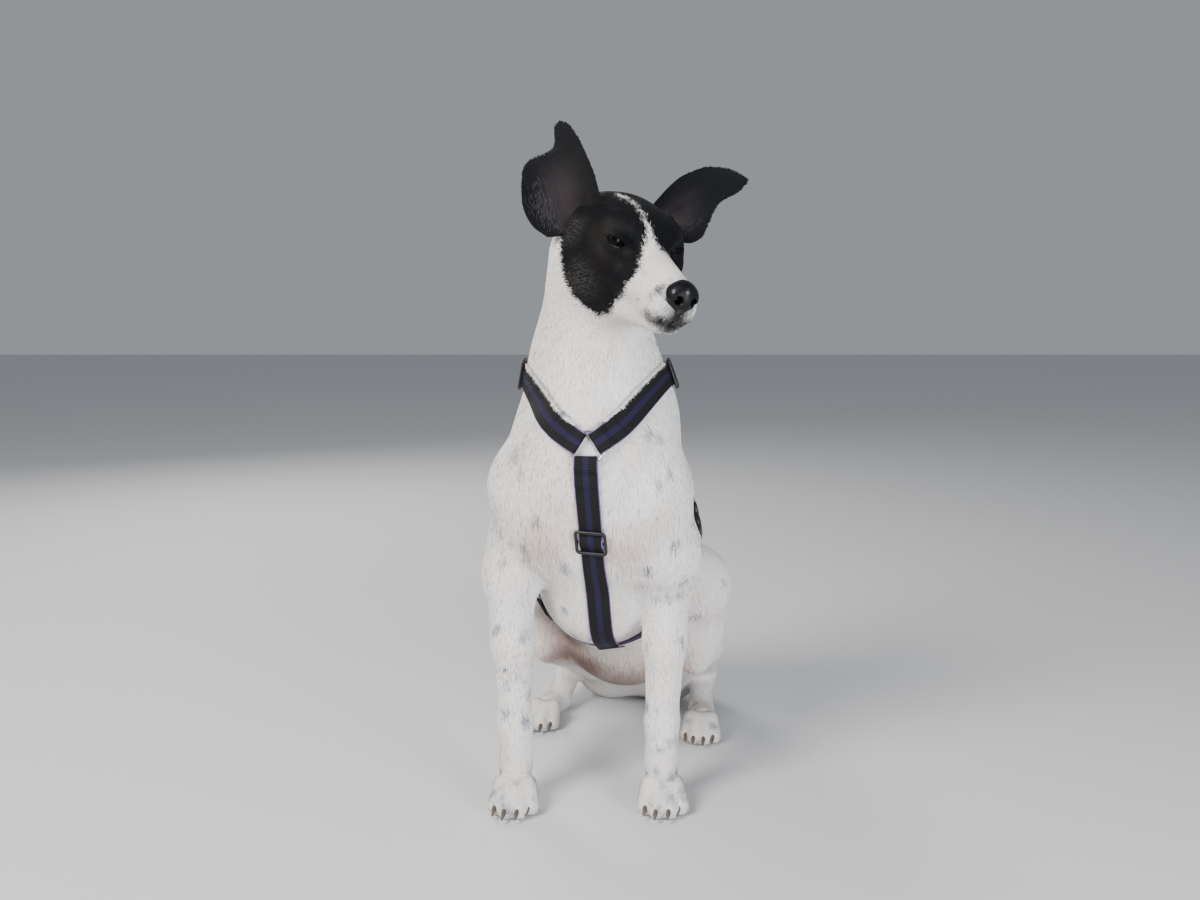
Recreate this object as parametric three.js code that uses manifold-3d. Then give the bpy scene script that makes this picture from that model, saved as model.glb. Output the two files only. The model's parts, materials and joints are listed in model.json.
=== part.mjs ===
// A sitting short-coated dog, life size, one ear up and one turned out, in a
// walking harness of 25 mm webbing. Millimetres, +Z up; the dog faces -Y.
// Its flesh is one smooth shape, built from round tapering limbs that melt
// into each other, and thin cuts part it into head, neck, trunk and legs.
import * as THREE from "three";
import { mergeVertices } from "three/addons/utils/BufferGeometryUtils.js";
import Module from "manifold-3d";

const wasm = await Module();
wasm.setup();

// ---- driving dimensions
const TRUNK_TURN = 12;          // degrees that the rump swings to the dog's left
const HEAD_TURN = 25;           // degrees that the head looks to its left
const HEAD_NOD = 20.5;          // degrees that the muzzle points down
const HEAD_TILT = 6;            // degrees that the crown leans over
const HEAD_SIZE = 1.04;         // the head's own sizes are multiplied by this
const BETWEEN_EYES = [44.1, -52, 577];   // the point midway between the eyes
const TRUNK_MIDDLE = [-12, 0, 0];        // where the trunk's midline meets y = 0
const EYEBALL = [12.2, 11, 11];          // half sizes: across, forward, up
const EAR_UP_LENGTH = 94;       // the right ear, from its base to the tip
const EAR_OUT_LENGTH = 88;      // the left ear, turned out to the side
const CLAW_LENGTH = 13;
const CLAW_RADIUS = 3.2;
const WEBBING_WIDTH = 25;
const WEBBING_THICKNESS = 2;
const RING_RADIUS = 16.2;       // of the metal rings, to the middle of the wire
const WIRE_RADIUS = 1.8;
const GAP = 0.35;               // between neighbouring pieces
const NET_STEP = {              // the mesh width of each part's surface
  nose: 8, head: 17, forepaw: 12.6, foreleg: 18, hindpaw: 13.2, hindleg: 28,
  tail: 13, neck: 31, trunk: 36,
};

// ---- materials
const COAT_WHITE = { color: 0xe9e4da, roughness: 0.85, metalness: 0 };
const COAT_BLACK = { color: 0x1b1a1c, roughness: 0.75, metalness: 0 };
const NOSE_BLACK = { color: 0x121113, roughness: 0.35, metalness: 0 };
const EYE_BROWN = { color: 0x24140c, roughness: 0.08, metalness: 0 };
const CLAW_HORN = { color: 0x4b443e, roughness: 0.5, metalness: 0 };
const WEBBING = { color: 0x22202b, roughness: 0.8, metalness: 0 };
const BLACK_PLASTIC = { color: 0x141416, roughness: 0.4, metalness: 0 };
const STEEL = { color: 0xb9bbbd, roughness: 0.25, metalness: 1 };

// ---- vectors as plain [x, y, z]
const add = (a, b) => [a[0] + b[0], a[1] + b[1], a[2] + b[2]];
const sub = (a, b) => [a[0] - b[0], a[1] - b[1], a[2] - b[2]];
const scale = (a, k) => [a[0] * k, a[1] * k, a[2] * k];
const dot = (a, b) => a[0] * b[0] + a[1] * b[1] + a[2] * b[2];
const length = (a) => Math.hypot(a[0], a[1], a[2]);
const unit = (a) => scale(a, 1 / length(a));
const cross = (a, b) => [
  a[1] * b[2] - a[2] * b[1], a[2] * b[0] - a[0] * b[2], a[0] * b[1] - a[1] * b[0],
];
const mix = (a, b, t) => add(scale(a, 1 - t), scale(b, t));
const clamp = (x, low, high) => Math.min(Math.max(x, low), high);
const radians = THREE.MathUtils.degToRad;

// ---- two frames: the trunk's and the head's
// A frame has an origin, three unit axes and a size. In both, x runs to the
// dog's left. In the trunk y runs to its rear; in the head it runs forward.
const turnSin = Math.sin(radians(TRUNK_TURN));
const turnCos = Math.cos(radians(TRUNK_TURN));
const TRUNK = {
  origin: TRUNK_MIDDLE,
  axes: [[turnCos, -turnSin, 0], [turnSin, turnCos, 0], [0, 0, 1]],
  size: 1,
};
const HEAD = headFrame();

function headFrame() {
  const yaw = radians(HEAD_TURN);
  const pitch = radians(HEAD_NOD);
  const tilt = radians(HEAD_TILT);
  const forward = [
    Math.sin(yaw) * Math.cos(pitch), -Math.cos(yaw) * Math.cos(pitch), -Math.sin(pitch),
  ];
  const level = [Math.cos(yaw), Math.sin(yaw), 0];
  const upright = cross(level, forward).map((v) => -v);
  const left = sub(scale(level, Math.cos(tilt)), scale(upright, Math.sin(tilt)));
  const up = add(scale(upright, Math.cos(tilt)), scale(level, Math.sin(tilt)));
  return { origin: BETWEEN_EYES, axes: [left, forward, up], size: HEAD_SIZE };
}

function place(frame, x, y, z) {
  const [a, b, c] = frame.axes;
  const turned = add(add(scale(a, x), scale(b, y)), scale(c, z));
  return add(frame.origin, scale(turned, frame.size));
}
function direction(frame, x, y, z) {
  return unit(sub(place(frame, x, y, z), frame.origin));
}
function within(frame, point) {
  const d = sub(point, frame.origin);
  return frame.axes.map((axis) => dot(d, axis) / frame.size);
}
const body = (x, y, z) => place(TRUNK, x, y, z);
const head = (x, y, z) => place(HEAD, x, y, z);

// ---- flesh: each piece is a distance function, joined by smooth minimum
const ACROSS = direction(TRUNK, 1, 0, 0);

// A tapering rod with round ends. `squash` flattens it across the trunk.
function rod(from, to, startRadius, endRadius, blend, squash = 1, axis = ACROSS) {
  const along = sub(to, from);
  const reach = Math.max(dot(along, along), 1e-9);
  const distance = (p) => {
    const d = sub(p, from);
    const t = clamp(dot(d, along) / reach, 0, 1);
    const radius = startRadius + (endRadius - startRadius) * t;
    const off = sub(d, scale(along, t));
    if (squash === 1) return length(off) - radius;
    const side = dot(off, axis);
    const wide = length(add(off, scale(axis, side * (1 / squash - 1))));
    const share = clamp(1 - Math.abs(side) / Math.max(wide * squash, 1e-6), 0, 1);
    return (wide - radius) * (squash + (1 - squash) * share);
  };
  return { distance, blend };
}

// An ellipsoid with its axes along the coordinate axes.
function egg(middle, radii, blend) {
  const distance = (p) => {
    const d = sub(p, middle);
    const near = Math.hypot(d[0] / radii[0], d[1] / radii[1], d[2] / radii[2]);
    const far = Math.hypot(d[0] / radii[0] ** 2, d[1] / radii[1] ** 2, d[2] / radii[2] ** 2);
    return (near * (near - 1)) / Math.max(far, 1e-6);
  };
  return { distance, blend };
}

function smoothMinimum(a, b, blend) {
  if (blend <= 0) return Math.min(a, b);
  const h = clamp(0.5 + (0.5 * (b - a)) / blend, 0, 1);
  return b + (a - b) * h - blend * h * (1 - h);
}
const smoothMaximum = (a, b, blend) => -smoothMinimum(-a, -b, blend);

function joined(pieces, p) {
  let d = Infinity;
  for (const piece of pieces) {
    const e = piece.distance(p);
    d = d === Infinity ? e : smoothMinimum(d, e, piece.blend);
  }
  return d;
}

// ---- the trunk and neck
function trunkFlesh() {
  const pieces = [
    rod(body(0, 42, 380), body(0, 122, 250), 90, 104, 0, 0.86),
    rod(body(0, 122, 250), body(0, 212, 145), 102, 88, 30, 0.86),
    rod(body(0, 212, 150), body(0, 286, 92), 86, 70, 30, 0.98),
    rod(body(0, 70, 418), body(0, 128, 360), 44, 62, 45, 0.9),
    rod(body(0, -14, 378), body(0, 54, 208), 50, 56, 30),
  ];
  for (const s of [1, -1]) {
    const buttock = rod(body(s * 32, 286, 72), body(s * 36, 306, 50), 50, 52, 25);
    const breast = rod(body(s * 32, -10, 350), body(s * 40, 10, 280), 46, 44, 25);
    const shoulder = rod(body(s * 34, 74, 432), body(s * 60, 6, 338), 36, 42, 28);
    const upperArm = rod(body(s * 62, 4, 330), body(s * 76, 24, 262), 44, 35, 22);
    pieces.push(buttock, breast, shoulder, upperArm);
  }
  pieces.push(
    rod(body(0, 50, 408), body(-3, 38, 462), 70, 60, 35),
    rod(body(-3, 38, 462), head(-13, -64, -34), 60, 50, 30),
  );
  return pieces;
}

// ---- a foreleg, s = 1 for the left one
const FORE_TOES = [[-17, -30], [-6.5, -42], [6.5, -42], [17, -30]];
function forelegPoints(s) {
  return {
    elbow: body(s * 80, 24, 262),
    forearm: add(TRUNK_MIDDLE, [s * 84, 22, 235]),
    middle: add(TRUNK_MIDDLE, [s * 81, 6, 165]),
    wrist: add(TRUNK_MIDDLE, [s * 78, -4, 82]),
    pastern: add(TRUNK_MIDDLE, [s * 77, -14, 42]),
  };
}
function foreToe(s, [across, ahead]) {
  const { pastern } = forelegPoints(s);
  return {
    knuckle: [pastern[0] + 0.7 * across, pastern[1] - 8 + 0.35 * ahead, 24],
    tip: [pastern[0] + across, pastern[1] - 14 + 0.75 * ahead, 9],
  };
}
function forelegFlesh(s) {
  const at = forelegPoints(s);
  const pieces = [
    rod(at.elbow, at.forearm, 36, 27, 20),
    rod(at.forearm, at.middle, 27, 22.5, 18),
    rod(at.middle, at.wrist, 22, 17.5, 12),
    rod(at.wrist, at.pastern, 18.5, 17, 8),
    rod(at.pastern, [at.pastern[0], at.pastern[1] - 14, 14.5], 16.5, 17, 8),
  ];
  for (const spread of FORE_TOES) {
    const toe = foreToe(s, spread);
    pieces.push(rod(toe.knuckle, toe.tip, 11.5, 10.5, 6));
  }
  return pieces;
}

// ---- a hind leg, folded: thigh, shank, and the long foot flat on the ground
const HIND_TOES = [[-16, -24], [-6, -34], [6, -34], [16, -24]];
function hindToe(s, [across, ahead]) {
  return {
    knuckle: body(s * 99 + 0.7 * across, 196 + 0.4 * ahead, 21),
    tip: body(s * 100 + across, 186 + 0.8 * ahead, 8.5),
  };
}
function hindlegFlesh(s) {
  const knee = body(s * 98, 158, 198);
  const shank = body(s * 94, 226, 108);
  const hock = body(s * 88, 296, 46);
  const foot = body(s * 93, 236, 14.5);
  const pieces = [
    rod(body(s * 46, 262, 146), knee, 76, 39, 30, 0.72),
    rod(body(s * 62, 250, 108), body(s * 92, 190, 120), 58, 42, 25, 0.62),
    rod(knee, shank, 36, 25, 20),
    rod(shank, hock, 25, 16, 15),
    rod(hock, foot, 17, 15, 10),
    rod(foot, body(s * 99, 200, 15.5), 15, 16.5, 8),
  ];
  for (const spread of HIND_TOES) {
    const toe = hindToe(s, spread);
    pieces.push(rod(toe.knuckle, toe.tip, 11, 10, 6));
  }
  return pieces;
}

// ---- the tail, laid on the ground behind
const TAIL_POINTS = [
  [0, 318, 62], [2, 352, 30], [3, 396, 15], [-2, 440, 12], [-14, 484, 9.5], [-34, 522, 6.5],
];
const TAIL_RADII = [26, 19, 15.5, 13, 10.5, 7.5];
function tailFlesh() {
  const pieces = [];
  for (let i = 0; i + 1 < TAIL_POINTS.length; i += 1) {
    const from = body(...TAIL_POINTS[i]);
    const to = body(...TAIL_POINTS[i + 1]);
    pieces.push(rod(from, to, TAIL_RADII[i], TAIL_RADII[i + 1], i === 0 ? 20 : 8));
  }
  return pieces;
}

// ---- the head, in its own frame, the same on both sides
const SIDE = [1, 0, 0];
const HEAD_FLESH = [
  egg([0, -50, -4], [50, 60, 39], 0),                           // cranium
  egg([0, -94, -14], [36, 26, 34], 20),                         // nape
  egg([31, -24, -17], [20, 36, 25], 16),                        // cheekbone
  egg([28, -40, -42], [24, 34, 32], 18),                        // jaw muscle
  egg([0, -14, 8], [36, 32, 20], 16),                           // forehead
  rod([15, 3, 9], [29, -14, 12], 10.5, 10, 10, 1, SIDE),        // brow
  rod([0, 8, -14], [0, 78, -20], 21.5, 15, 14, 1, SIDE),        // bridge of the muzzle
  rod([14, 10, -28], [9, 74, -30], 18, 13.5, 10, 1, SIDE),      // side of the muzzle
  rod([11, -20, -58], [5, 70, -49], 17, 10.5, 12, 1, SIDE),     // lower jaw
  egg([11, 60, -37], [12, 27, 12], 6),                          // lip
  rod([0, -10, -54], [0, -50, -60], 24, 32, 20, 1, SIDE),       // throat
  egg([0, 84.5, -18.5], [15.6, 12.8, 13.6], 4),                 // nose
];
const EYE_HOLLOW = egg([33.5, 15.5, -1], [14, 11, 9], 0);
function headDistance(p) {
  const [x, y, z] = within(HEAD, p);
  const q = [Math.abs(x), y, z];
  const flesh = joined(HEAD_FLESH, q);
  return smoothMaximum(flesh, -EYE_HOLLOW.distance(q), 8) * HEAD_SIZE;
}

const HEAD_BLEND = 16;
const FLESH = [
  ...trunkFlesh(), ...forelegFlesh(1), ...forelegFlesh(-1),
  ...hindlegFlesh(1), ...hindlegFlesh(-1), ...tailFlesh(),
];
function dogDistance(p) {
  return smoothMinimum(joined(FLESH, p), headDistance(p), HEAD_BLEND);
}
function slope(distance, p) {
  const step = 0.5;
  return unit([0, 1, 2].map((k) => {
    const ahead = [...p];
    const behind = [...p];
    ahead[k] += step;
    behind[k] -= step;
    return distance(ahead) - distance(behind);
  }));
}

// ---- solids
function solidFrom(positions, triangles) {
  const mesh = new wasm.Mesh({
    numProp: 3,
    vertProperties: new Float32Array(positions),
    triVerts: new Uint32Array(triangles),
  });
  return new wasm.Manifold(mesh);
}
function solidOf(geometry, matrix = new THREE.Matrix4()) {
  const bare = geometry.clone();
  bare.deleteAttribute("normal");
  bare.deleteAttribute("uv");
  const whole = mergeVertices(bare, 1e-4).applyMatrix4(matrix);
  const triangles = whole.index.array;
  if (matrix.determinant() < 0) triangles.reverse();
  return solidFrom(whole.attributes.position.array, triangles);
}
function turned(origin, axes) {
  const [x, y, z] = axes.map((axis) => new THREE.Vector3(...axis));
  return new THREE.Matrix4().makeBasis(x, y, z).setPosition(...origin);
}
// A box from its two corners in the trunk's frame.
function trunkBox(low, high) {
  const size = sub(high, low);
  const box = new THREE.BoxGeometry(...size).translate(...add(low, scale(size, 0.5)));
  return solidOf(box, turned(TRUNK.origin, TRUNK.axes));
}
// All that lies on the side of a plane that its normal points to.
function halfSpace(point, normal) {
  const reach = 1500;
  const box = new THREE.BoxGeometry(reach, reach, reach).translate(0, 0, reach / 2);
  const up = unit(normal);
  const left = unit(cross(Math.abs(up[2]) < 0.9 ? [0, 0, 1] : [0, 1, 0], up));
  return solidOf(box, turned(point, [left, cross(up, left), up]));
}
function largest(solid) {
  const pieces = solid.decompose();
  return pieces.reduce((a, b) => (b.volume() > a.volume() ? b : a));
}

// A closed net around all points where distance(p) < 0, inside a box of cubes
// `step` wide. Each cube that the surface passes through gets one vertex,
// which is then moved on to the surface; each crossed cube edge gets one face.
function net(distance, low, high, step) {
  const count = [0, 1, 2].map((k) => Math.ceil((high[k] - low[k]) / step) + 1);
  const at = (i, j, k) => (k * count[1] + j) * count[0] + i;
  const spot = (i, j, k) => [low[0] + i * step, low[1] + j * step, low[2] + k * step];
  const onRim = (i, j, k) => [i, j, k].some((n, axis) => n === 0 || n === count[axis] - 1);
  const values = new Float64Array(count[0] * count[1] * count[2]);
  for (let k = 0; k < count[2]; k += 1) {
    for (let j = 0; j < count[1]; j += 1) {
      for (let i = 0; i < count[0]; i += 1) {
        values[at(i, j, k)] = onRim(i, j, k) ? step : distance(spot(i, j, k));
      }
    }
  }
  unpinch(values, at);
  const corners = [0, 1, 2, 3, 4, 5, 6, 7].map((n) => [n & 1, (n >> 1) & 1, n >> 2]);
  const positions = [];
  const vertexOf = new Map();
  for (let k = 0; k < count[2] - 1; k += 1) {
    for (let j = 0; j < count[1] - 1; j += 1) {
      for (let i = 0; i < count[0] - 1; i += 1) {
        const v = corners.map(([a, b, c]) => values[at(i + a, j + b, k + c)]);
        if (v.every((d) => d >= 0) || v.every((d) => d < 0)) continue;
        let middle = [0, 0, 0];
        let crossings = 0;
        for (let n = 0; n < 8; n += 1) {
          for (const bit of [1, 2, 4]) {
            if (n & bit || (v[n] < 0) === (v[n | bit] < 0)) continue;
            const t = v[n] / (v[n] - v[n | bit]);
            middle = add(middle, mix(corners[n], corners[n | bit], t));
            crossings += 1;
          }
        }
        let point = add(spot(i, j, k), scale(middle, step / crossings));
        for (let pass = 0; pass < 2; pass += 1) {
          const reach = clamp(distance(point), -0.3 * step, 0.3 * step);
          point = sub(point, scale(slope(distance, point), reach));
        }
        vertexOf.set(at(i, j, k), positions.length / 3);
        positions.push(...point);
      }
    }
  }
  const triangles = [];
  const corner = (n) => positions.slice(3 * n, 3 * n + 3);
  const apart = (a, b) => length(sub(corner(a), corner(b)));
  const face = (a, b, c, d) => {
    if (apart(a, c) < apart(b, d)) triangles.push(a, b, c, a, c, d);
    else triangles.push(b, c, d, b, d, a);
  };
  const steps = [at(1, 0, 0), at(0, 1, 0), at(0, 0, 1)];
  for (let k = 0; k < count[2] - 1; k += 1) {
    for (let j = 0; j < count[1] - 1; j += 1) {
      for (let i = 0; i < count[0] - 1; i += 1) {
        const here = at(i, j, k);
        for (let axis = 0; axis < 3; axis += 1) {
          const inside = values[here] < 0;
          if (inside === values[here + steps[axis]] < 0) continue;
          const u = steps[(axis + 1) % 3];
          const w = steps[(axis + 2) % 3];
          const around = [here - u - w, here - w, here, here - u].map((n) => vertexOf.get(n));
          face(...(inside ? around : around.reverse()));
        }
      }
    }
  }
  return solidFrom(positions, triangles);
}

// Where a square's corners are in and out by turns, the net would pinch, so
// the outer corner that is nearer to the surface is taken inside.
function unpinch(values, at) {
  const steps = [at(1, 0, 0), at(0, 1, 0), at(0, 0, 1)];
  const last = values.length - 1;
  let changed = true;
  while (changed) {
    changed = false;
    for (const [u, w] of [[0, 1], [1, 2], [2, 0]]) {
      for (let n = 0; n + steps[u] + steps[w] <= last; n += 1) {
        const [a, b] = [n, n + steps[u] + steps[w]];
        const [c, d] = [n + steps[u], n + steps[w]];
        const alternate = values[a] < 0 === values[b] < 0 && values[c] < 0 === values[d] < 0;
        if (!alternate || values[a] < 0 === values[c] < 0) continue;
        const outer = values[a] < 0 ? [c, d] : [a, b];
        const nearer = values[outer[0]] < values[outer[1]] ? outer[0] : outer[1];
        values[nearer] = -1e-3;
        changed = true;
      }
    }
  }
}

// A smooth curve through [place, value] pairs, level beyond its ends.
function along(points, t) {
  const last = points.length - 1;
  if (t <= points[0][0]) return points[0][1];
  if (t >= points[last][0]) return points[last][1];
  const i = points.findIndex((p, n) => n < last && t < points[n + 1][0]);
  const rise = (n) => {
    const [a, b] = [points[Math.max(n - 1, 0)], points[Math.min(n + 1, last)]];
    return (b[1] - a[1]) / (b[0] - a[0]);
  };
  const span = points[i + 1][0] - points[i][0];
  const u = (t - points[i][0]) / span;
  const start = points[i][1] * (1 + 2 * u) * (1 - u) ** 2 + rise(i) * span * u * (1 - u) ** 2;
  const end = points[i + 1][1] * u * u * (3 - 2 * u) + rise(i + 1) * span * u * u * (u - 1);
  return start + end;
}

// ---- ears: thin cupped leaves. Each is measured along its length t from the
// base and across it x; its two edges run through the [t, x] pairs, and it
// curls forward by `curl` times x squared.
const EARS = {
  ear_right: {
    base: head(-48.9, -49.1, 8.6),
    up: direction(HEAD, -0.191, -0.52, 0.833),
    facing: direction(HEAD, -0.705, 0.663, 0.252),
    mirrored: true,
    tip: EAR_UP_LENGTH,
    outer: [[-14, -38], [-1, -49], [20, -54], [50, -50], [58, -46], [63, -40], [67, -23],
      [72, -16], [82, -13], [90, -11], [94, -5]],
    inner: [[-14, 24], [0, 24], [16, 23], [37, 21], [63, 15], [78, 10], [88, 5], [94, -3]],
    curl: 0.0085,
    deepest: -4,
  },
  ear_left: {
    base: head(50, -52.7, 14.6),
    up: direction(HEAD, 0.726, 0.201, 0.658),
    facing: direction(HEAD, -0.386, 0.91, 0.148),
    mirrored: false,
    tip: EAR_OUT_LENGTH,
    outer: [[-14, -23], [0, -25], [8, -29.5], [15, -30.5], [22, -29], [34, -20], [45, -11.5],
      [52, -8], [60, -7], [73, -7], [83, -4], [88, -1]],
    inner: [[-14, 22], [-1, 27], [12, 32], [29, 36], [42, 35], [55, 32.5], [66, 26.5], [75, 19.5],
      [84, 9], [88, 1]],
    curl: 0.008,
    deepest: 2,
  },
};
const EAR_BEGINS = -14;         // how far the root reaches into the head
const EAR_HALF_THICKNESS = 3;
const EAR_ROWS = 10;
const EAR_COLUMNS = 5;

// `grow` thickens the ear on all sides, for the slot that it sits in.
function earSolid(ear, grow = 0) {
  const side = cross(ear.facing, ear.up);
  const across = ear.mirrored ? scale(side, -1) : side;
  const positions = [];
  for (const face of [1, -1]) {
    for (let row = 0; row <= EAR_ROWS; row += 1) {
      const begin = EAR_BEGINS - grow;
      const t = begin + ((ear.tip + grow - begin) * row) / EAR_ROWS;
      const share = clamp(t / ear.tip, -0.3, 1);
      const low = along(ear.outer, t) - grow;
      const high = along(ear.inner, t) + grow;
      for (let column = 0; column <= EAR_COLUMNS; column += 1) {
        const u = column / EAR_COLUMNS;
        const x = low + (high - low) * u;
        const curl = ear.curl * (x - ear.deepest) ** 2 * (1 - 0.45 * share) - 9 * (1 - share);
        const rim = Math.abs(2 * u - 1) ** 3;
        const half = EAR_HALF_THICKNESS * (1 - 0.4 * share) * (1 - 0.65 * rim) + grow;
        const flat = add(scale(ear.up, t), scale(across, x));
        positions.push(...add(ear.base, add(flat, scale(ear.facing, curl + face * half))));
      }
    }
  }
  const wide = EAR_COLUMNS + 1;
  const at = (face, row, column) => (face * (EAR_ROWS + 1) + row) * wide + column;
  const triangles = [];
  const quad = (a, b, c, d) => {
    const corners = ear.mirrored ? [a, b, c, a, c, d] : [c, b, a, d, c, a];
    triangles.push(...corners);
  };
  for (let row = 0; row < EAR_ROWS; row += 1) {
    for (let column = 0; column < EAR_COLUMNS; column += 1) {
      const [r, c] = [row + 1, column + 1];
      quad(at(0, row, column), at(0, row, c), at(0, r, c), at(0, r, column));
      quad(at(1, r, column), at(1, r, c), at(1, row, c), at(1, row, column));
    }
    quad(at(0, row, 0), at(0, row + 1, 0), at(1, row + 1, 0), at(1, row, 0));
    quad(at(1, row, wide - 1), at(1, row + 1, wide - 1), at(0, row + 1, wide - 1), at(0, row, wide - 1));
  }
  for (let column = 0; column < EAR_COLUMNS; column += 1) {
    quad(at(1, 0, column), at(1, 0, column + 1), at(0, 0, column + 1), at(0, 0, column));
    const [r, c] = [EAR_ROWS, column + 1];
    quad(at(0, r, column), at(0, r, c), at(1, r, c), at(1, r, column));
  }
  return solidFrom(positions, triangles);
}

// ---- eyes, most of each ball inside the head
const EYE_PLACE = [29.6, -6.5, 0];
const EYE_LOOK = [0.3, 0.95, 0.02];
function eyeSolid(s, grow = 0) {
  const look = direction(HEAD, s * EYE_LOOK[0], EYE_LOOK[1], EYE_LOOK[2]);
  const up = HEAD.axes[2];
  const side = unit(cross(look, up));
  const ball = new THREE.SphereGeometry(1, 11, 8);
  ball.scale(EYEBALL[0] + grow, EYEBALL[1] + grow, EYEBALL[2] + grow);
  const middle = head(s * EYE_PLACE[0], EYE_PLACE[1], EYE_PLACE[2]);
  return solidOf(ball, turned(middle, [side, look, cross(side, look)]));
}

// ---- claws: cones that point ahead and down from the toes
const CLAW_DROP = 0.35;         // how much they point down for each step ahead
const CLAW_AHEAD = 6.5;         // from the toe's middle to the claw's base
const CLAW_LIFT = 1.5;
const CLAW_SIDES = 6;
function clawSolid(toe, ahead, grow = 0) {
  const point = unit(add(ahead, [0, 0, -CLAW_DROP]));
  const side = unit(cross(point, [0, 0, 1]));
  const cone = new THREE.ConeGeometry(CLAW_RADIUS + grow, CLAW_LENGTH + 2 * grow, CLAW_SIDES);
  const reach = scale(point, CLAW_AHEAD + CLAW_LENGTH / 2);
  const middle = add(toe.tip, add(reach, [0, 0, CLAW_LIFT]));
  return solidOf(cone, turned(middle, [side, point, cross(side, point)]));
}

// ---- the harness: bands of webbing that follow the coat
function onCoat(middle, ray) {
  let far = 4;
  while (dogDistance(add(middle, scale(ray, far))) < 0) far += 4;
  let near = far - 4;
  for (let pass = 0; pass < 14; pass += 1) {
    const half = (near + far) / 2;
    if (dogDistance(add(middle, scale(ray, half))) < 0) near = half;
    else far = half;
  }
  const point = add(middle, scale(ray, near));
  return { point, normal: slope(dogDistance, point) };
}
const FRONT_RING_ANGLE = 7;     // degrees to the left of the trunk's midline
const FRONT_RING_HEIGHT = 382;
const COLLAR_RISE = 66;         // from the front ring up to the shoulders
const CHEST_OFFSET = 12;        // the chest band lies this far left of the midline
function collarPlace(s, turn) {
  const angle = radians(FRONT_RING_ANGLE + s * turn);
  const height = FRONT_RING_HEIGHT + COLLAR_RISE * Math.sin(radians(Math.min(turn, 90)));
  const ray = direction(TRUNK, Math.sin(angle), -Math.cos(angle), 0);
  return onCoat(body(0, 45, height), ray);
}
function chestPlace(angle) {
  const [ahead, down] = [Math.cos(radians(angle)), Math.sin(radians(angle))];
  return onCoat(body(CHEST_OFFSET, 95, 290), direction(TRUNK, 0, -ahead, -down));
}
function backPlace(angle) {
  const [behind, up] = [Math.cos(radians(angle)), Math.sin(radians(angle))];
  return onCoat(body(0, 60, 330), direction(TRUNK, 0, behind, up));
}
const GIRTH_LOW = [6, 72, 148];
const GIRTH_HIGH = [0, 168, 340];
function girthPlace(angle) {
  const climb = unit(sub(GIRTH_HIGH, GIRTH_LOW));
  const [left, down] = [Math.sin(radians(angle)), Math.cos(radians(angle))];
  const ray = sub([left, 0, 0], scale(climb, down));
  return onCoat(body(...mix(GIRTH_LOW, GIRTH_HIGH, 0.5)), direction(TRUNK, ...ray));
}

// The stations of a band: where `place` puts them between two angles.
// `lifts` gives the height over the coat at each share of the way.
function band(place, from, to, count, lifts, closed = false) {
  const stations = [];
  for (let n = 0; n < count; n += 1) {
    const share = n / (closed ? count : count - 1);
    const { point, normal } = place(from + (to - from) * share);
    stations.push({ point, normal, lift: along(lifts, share) });
  }
  stations.forEach((station, n) => {
    const before = closed ? (n + count - 1) % count : Math.max(n - 1, 0);
    const after = closed ? (n + 1) % count : Math.min(n + 1, count - 1);
    station.tangent = unit(sub(stations[after].point, stations[before].point));
    station.across = unit(cross(station.normal, station.tangent));
  });
  return { stations, closed };
}
function bandSolid({ stations, closed }, grow = 0) {
  const half = WEBBING_WIDTH / 2 + grow;
  const positions = [];
  for (const { point, normal, across, lift } of stations) {
    const bottom = lift - grow;
    const top = lift + WEBBING_THICKNESS + grow;
    for (const [x, z] of [[-half, bottom], [half, bottom], [half, top], [-half, top]]) {
      positions.push(...add(point, add(scale(across, x), scale(normal, z))));
    }
  }
  const triangles = [];
  const quad = (a, b, c, d) => triangles.push(a, b, c, a, c, d);
  const rings = stations.length;
  for (let n = 0; n < (closed ? rings : rings - 1); n += 1) {
    const [here, next] = [4 * n, 4 * ((n + 1) % rings)];
    for (let k = 0; k < 4; k += 1) {
      const l = (k + 1) % 4;
      quad(here + k, here + l, next + l, next + k);
    }
  }
  if (!closed) {
    const end = 4 * (rings - 1);
    quad(3, 2, 1, 0);
    quad(end, end + 1, end + 2, end + 3);
  }
  return solidFrom(positions, triangles);
}
function lieOn(place, height, tangent) {
  const across = unit(cross(place.normal, tangent));
  const middle = add(place.point, scale(place.normal, height));
  return turned(middle, [across, cross(place.normal, across), place.normal]);
}
function ringSolid(place, tangent, grow = 0) {
  const ring = new THREE.TorusGeometry(RING_RADIUS, WIRE_RADIUS + grow, 5, 15);
  return solidOf(ring, lieOn(place, 0.5 + WIRE_RADIUS, tangent));
}
// A slider is a plate with two windows that the webbing goes through.
const SLIDER_SIZE = [34, 28, 3.5];
const SLIDER_WINDOW = [26.5, 7.5];
const SLIDER_WINDOWS = [-6.5, 6.5];   // where their middles lie
function roundedRectangle(path, width, height, radius) {
  path.moveTo(radius - width / 2, -height / 2);
  for (const [sx, sy, start] of [[1, -1, -0.5], [1, 1, 0], [-1, 1, 0.5], [-1, -1, 1]]) {
    const x = sx * (width / 2 - radius);
    const y = sy * (height / 2 - radius);
    path.absarc(x, y, radius, start * Math.PI, (start + 0.5) * Math.PI);
  }
}
function plateSolid([width, height, thickness], windows, place, lift, tangent) {
  const plate = new THREE.Shape();
  roundedRectangle(plate, width, height, 3);
  for (const y of windows) {
    const [right, top] = [SLIDER_WINDOW[0] / 2, SLIDER_WINDOW[1] / 2];
    const corners = [[-right, y - top], [right, y - top], [right, y + top], [-right, y + top]];
    plate.holes.push(new THREE.Path(corners.map(([a, b]) => new THREE.Vector2(a, b))));
  }
  const options = { depth: thickness, bevelEnabled: false, curveSegments: 1 };
  return solidOf(new THREE.ExtrudeGeometry(plate, options), lieOn(place, lift, tangent));
}

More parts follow.
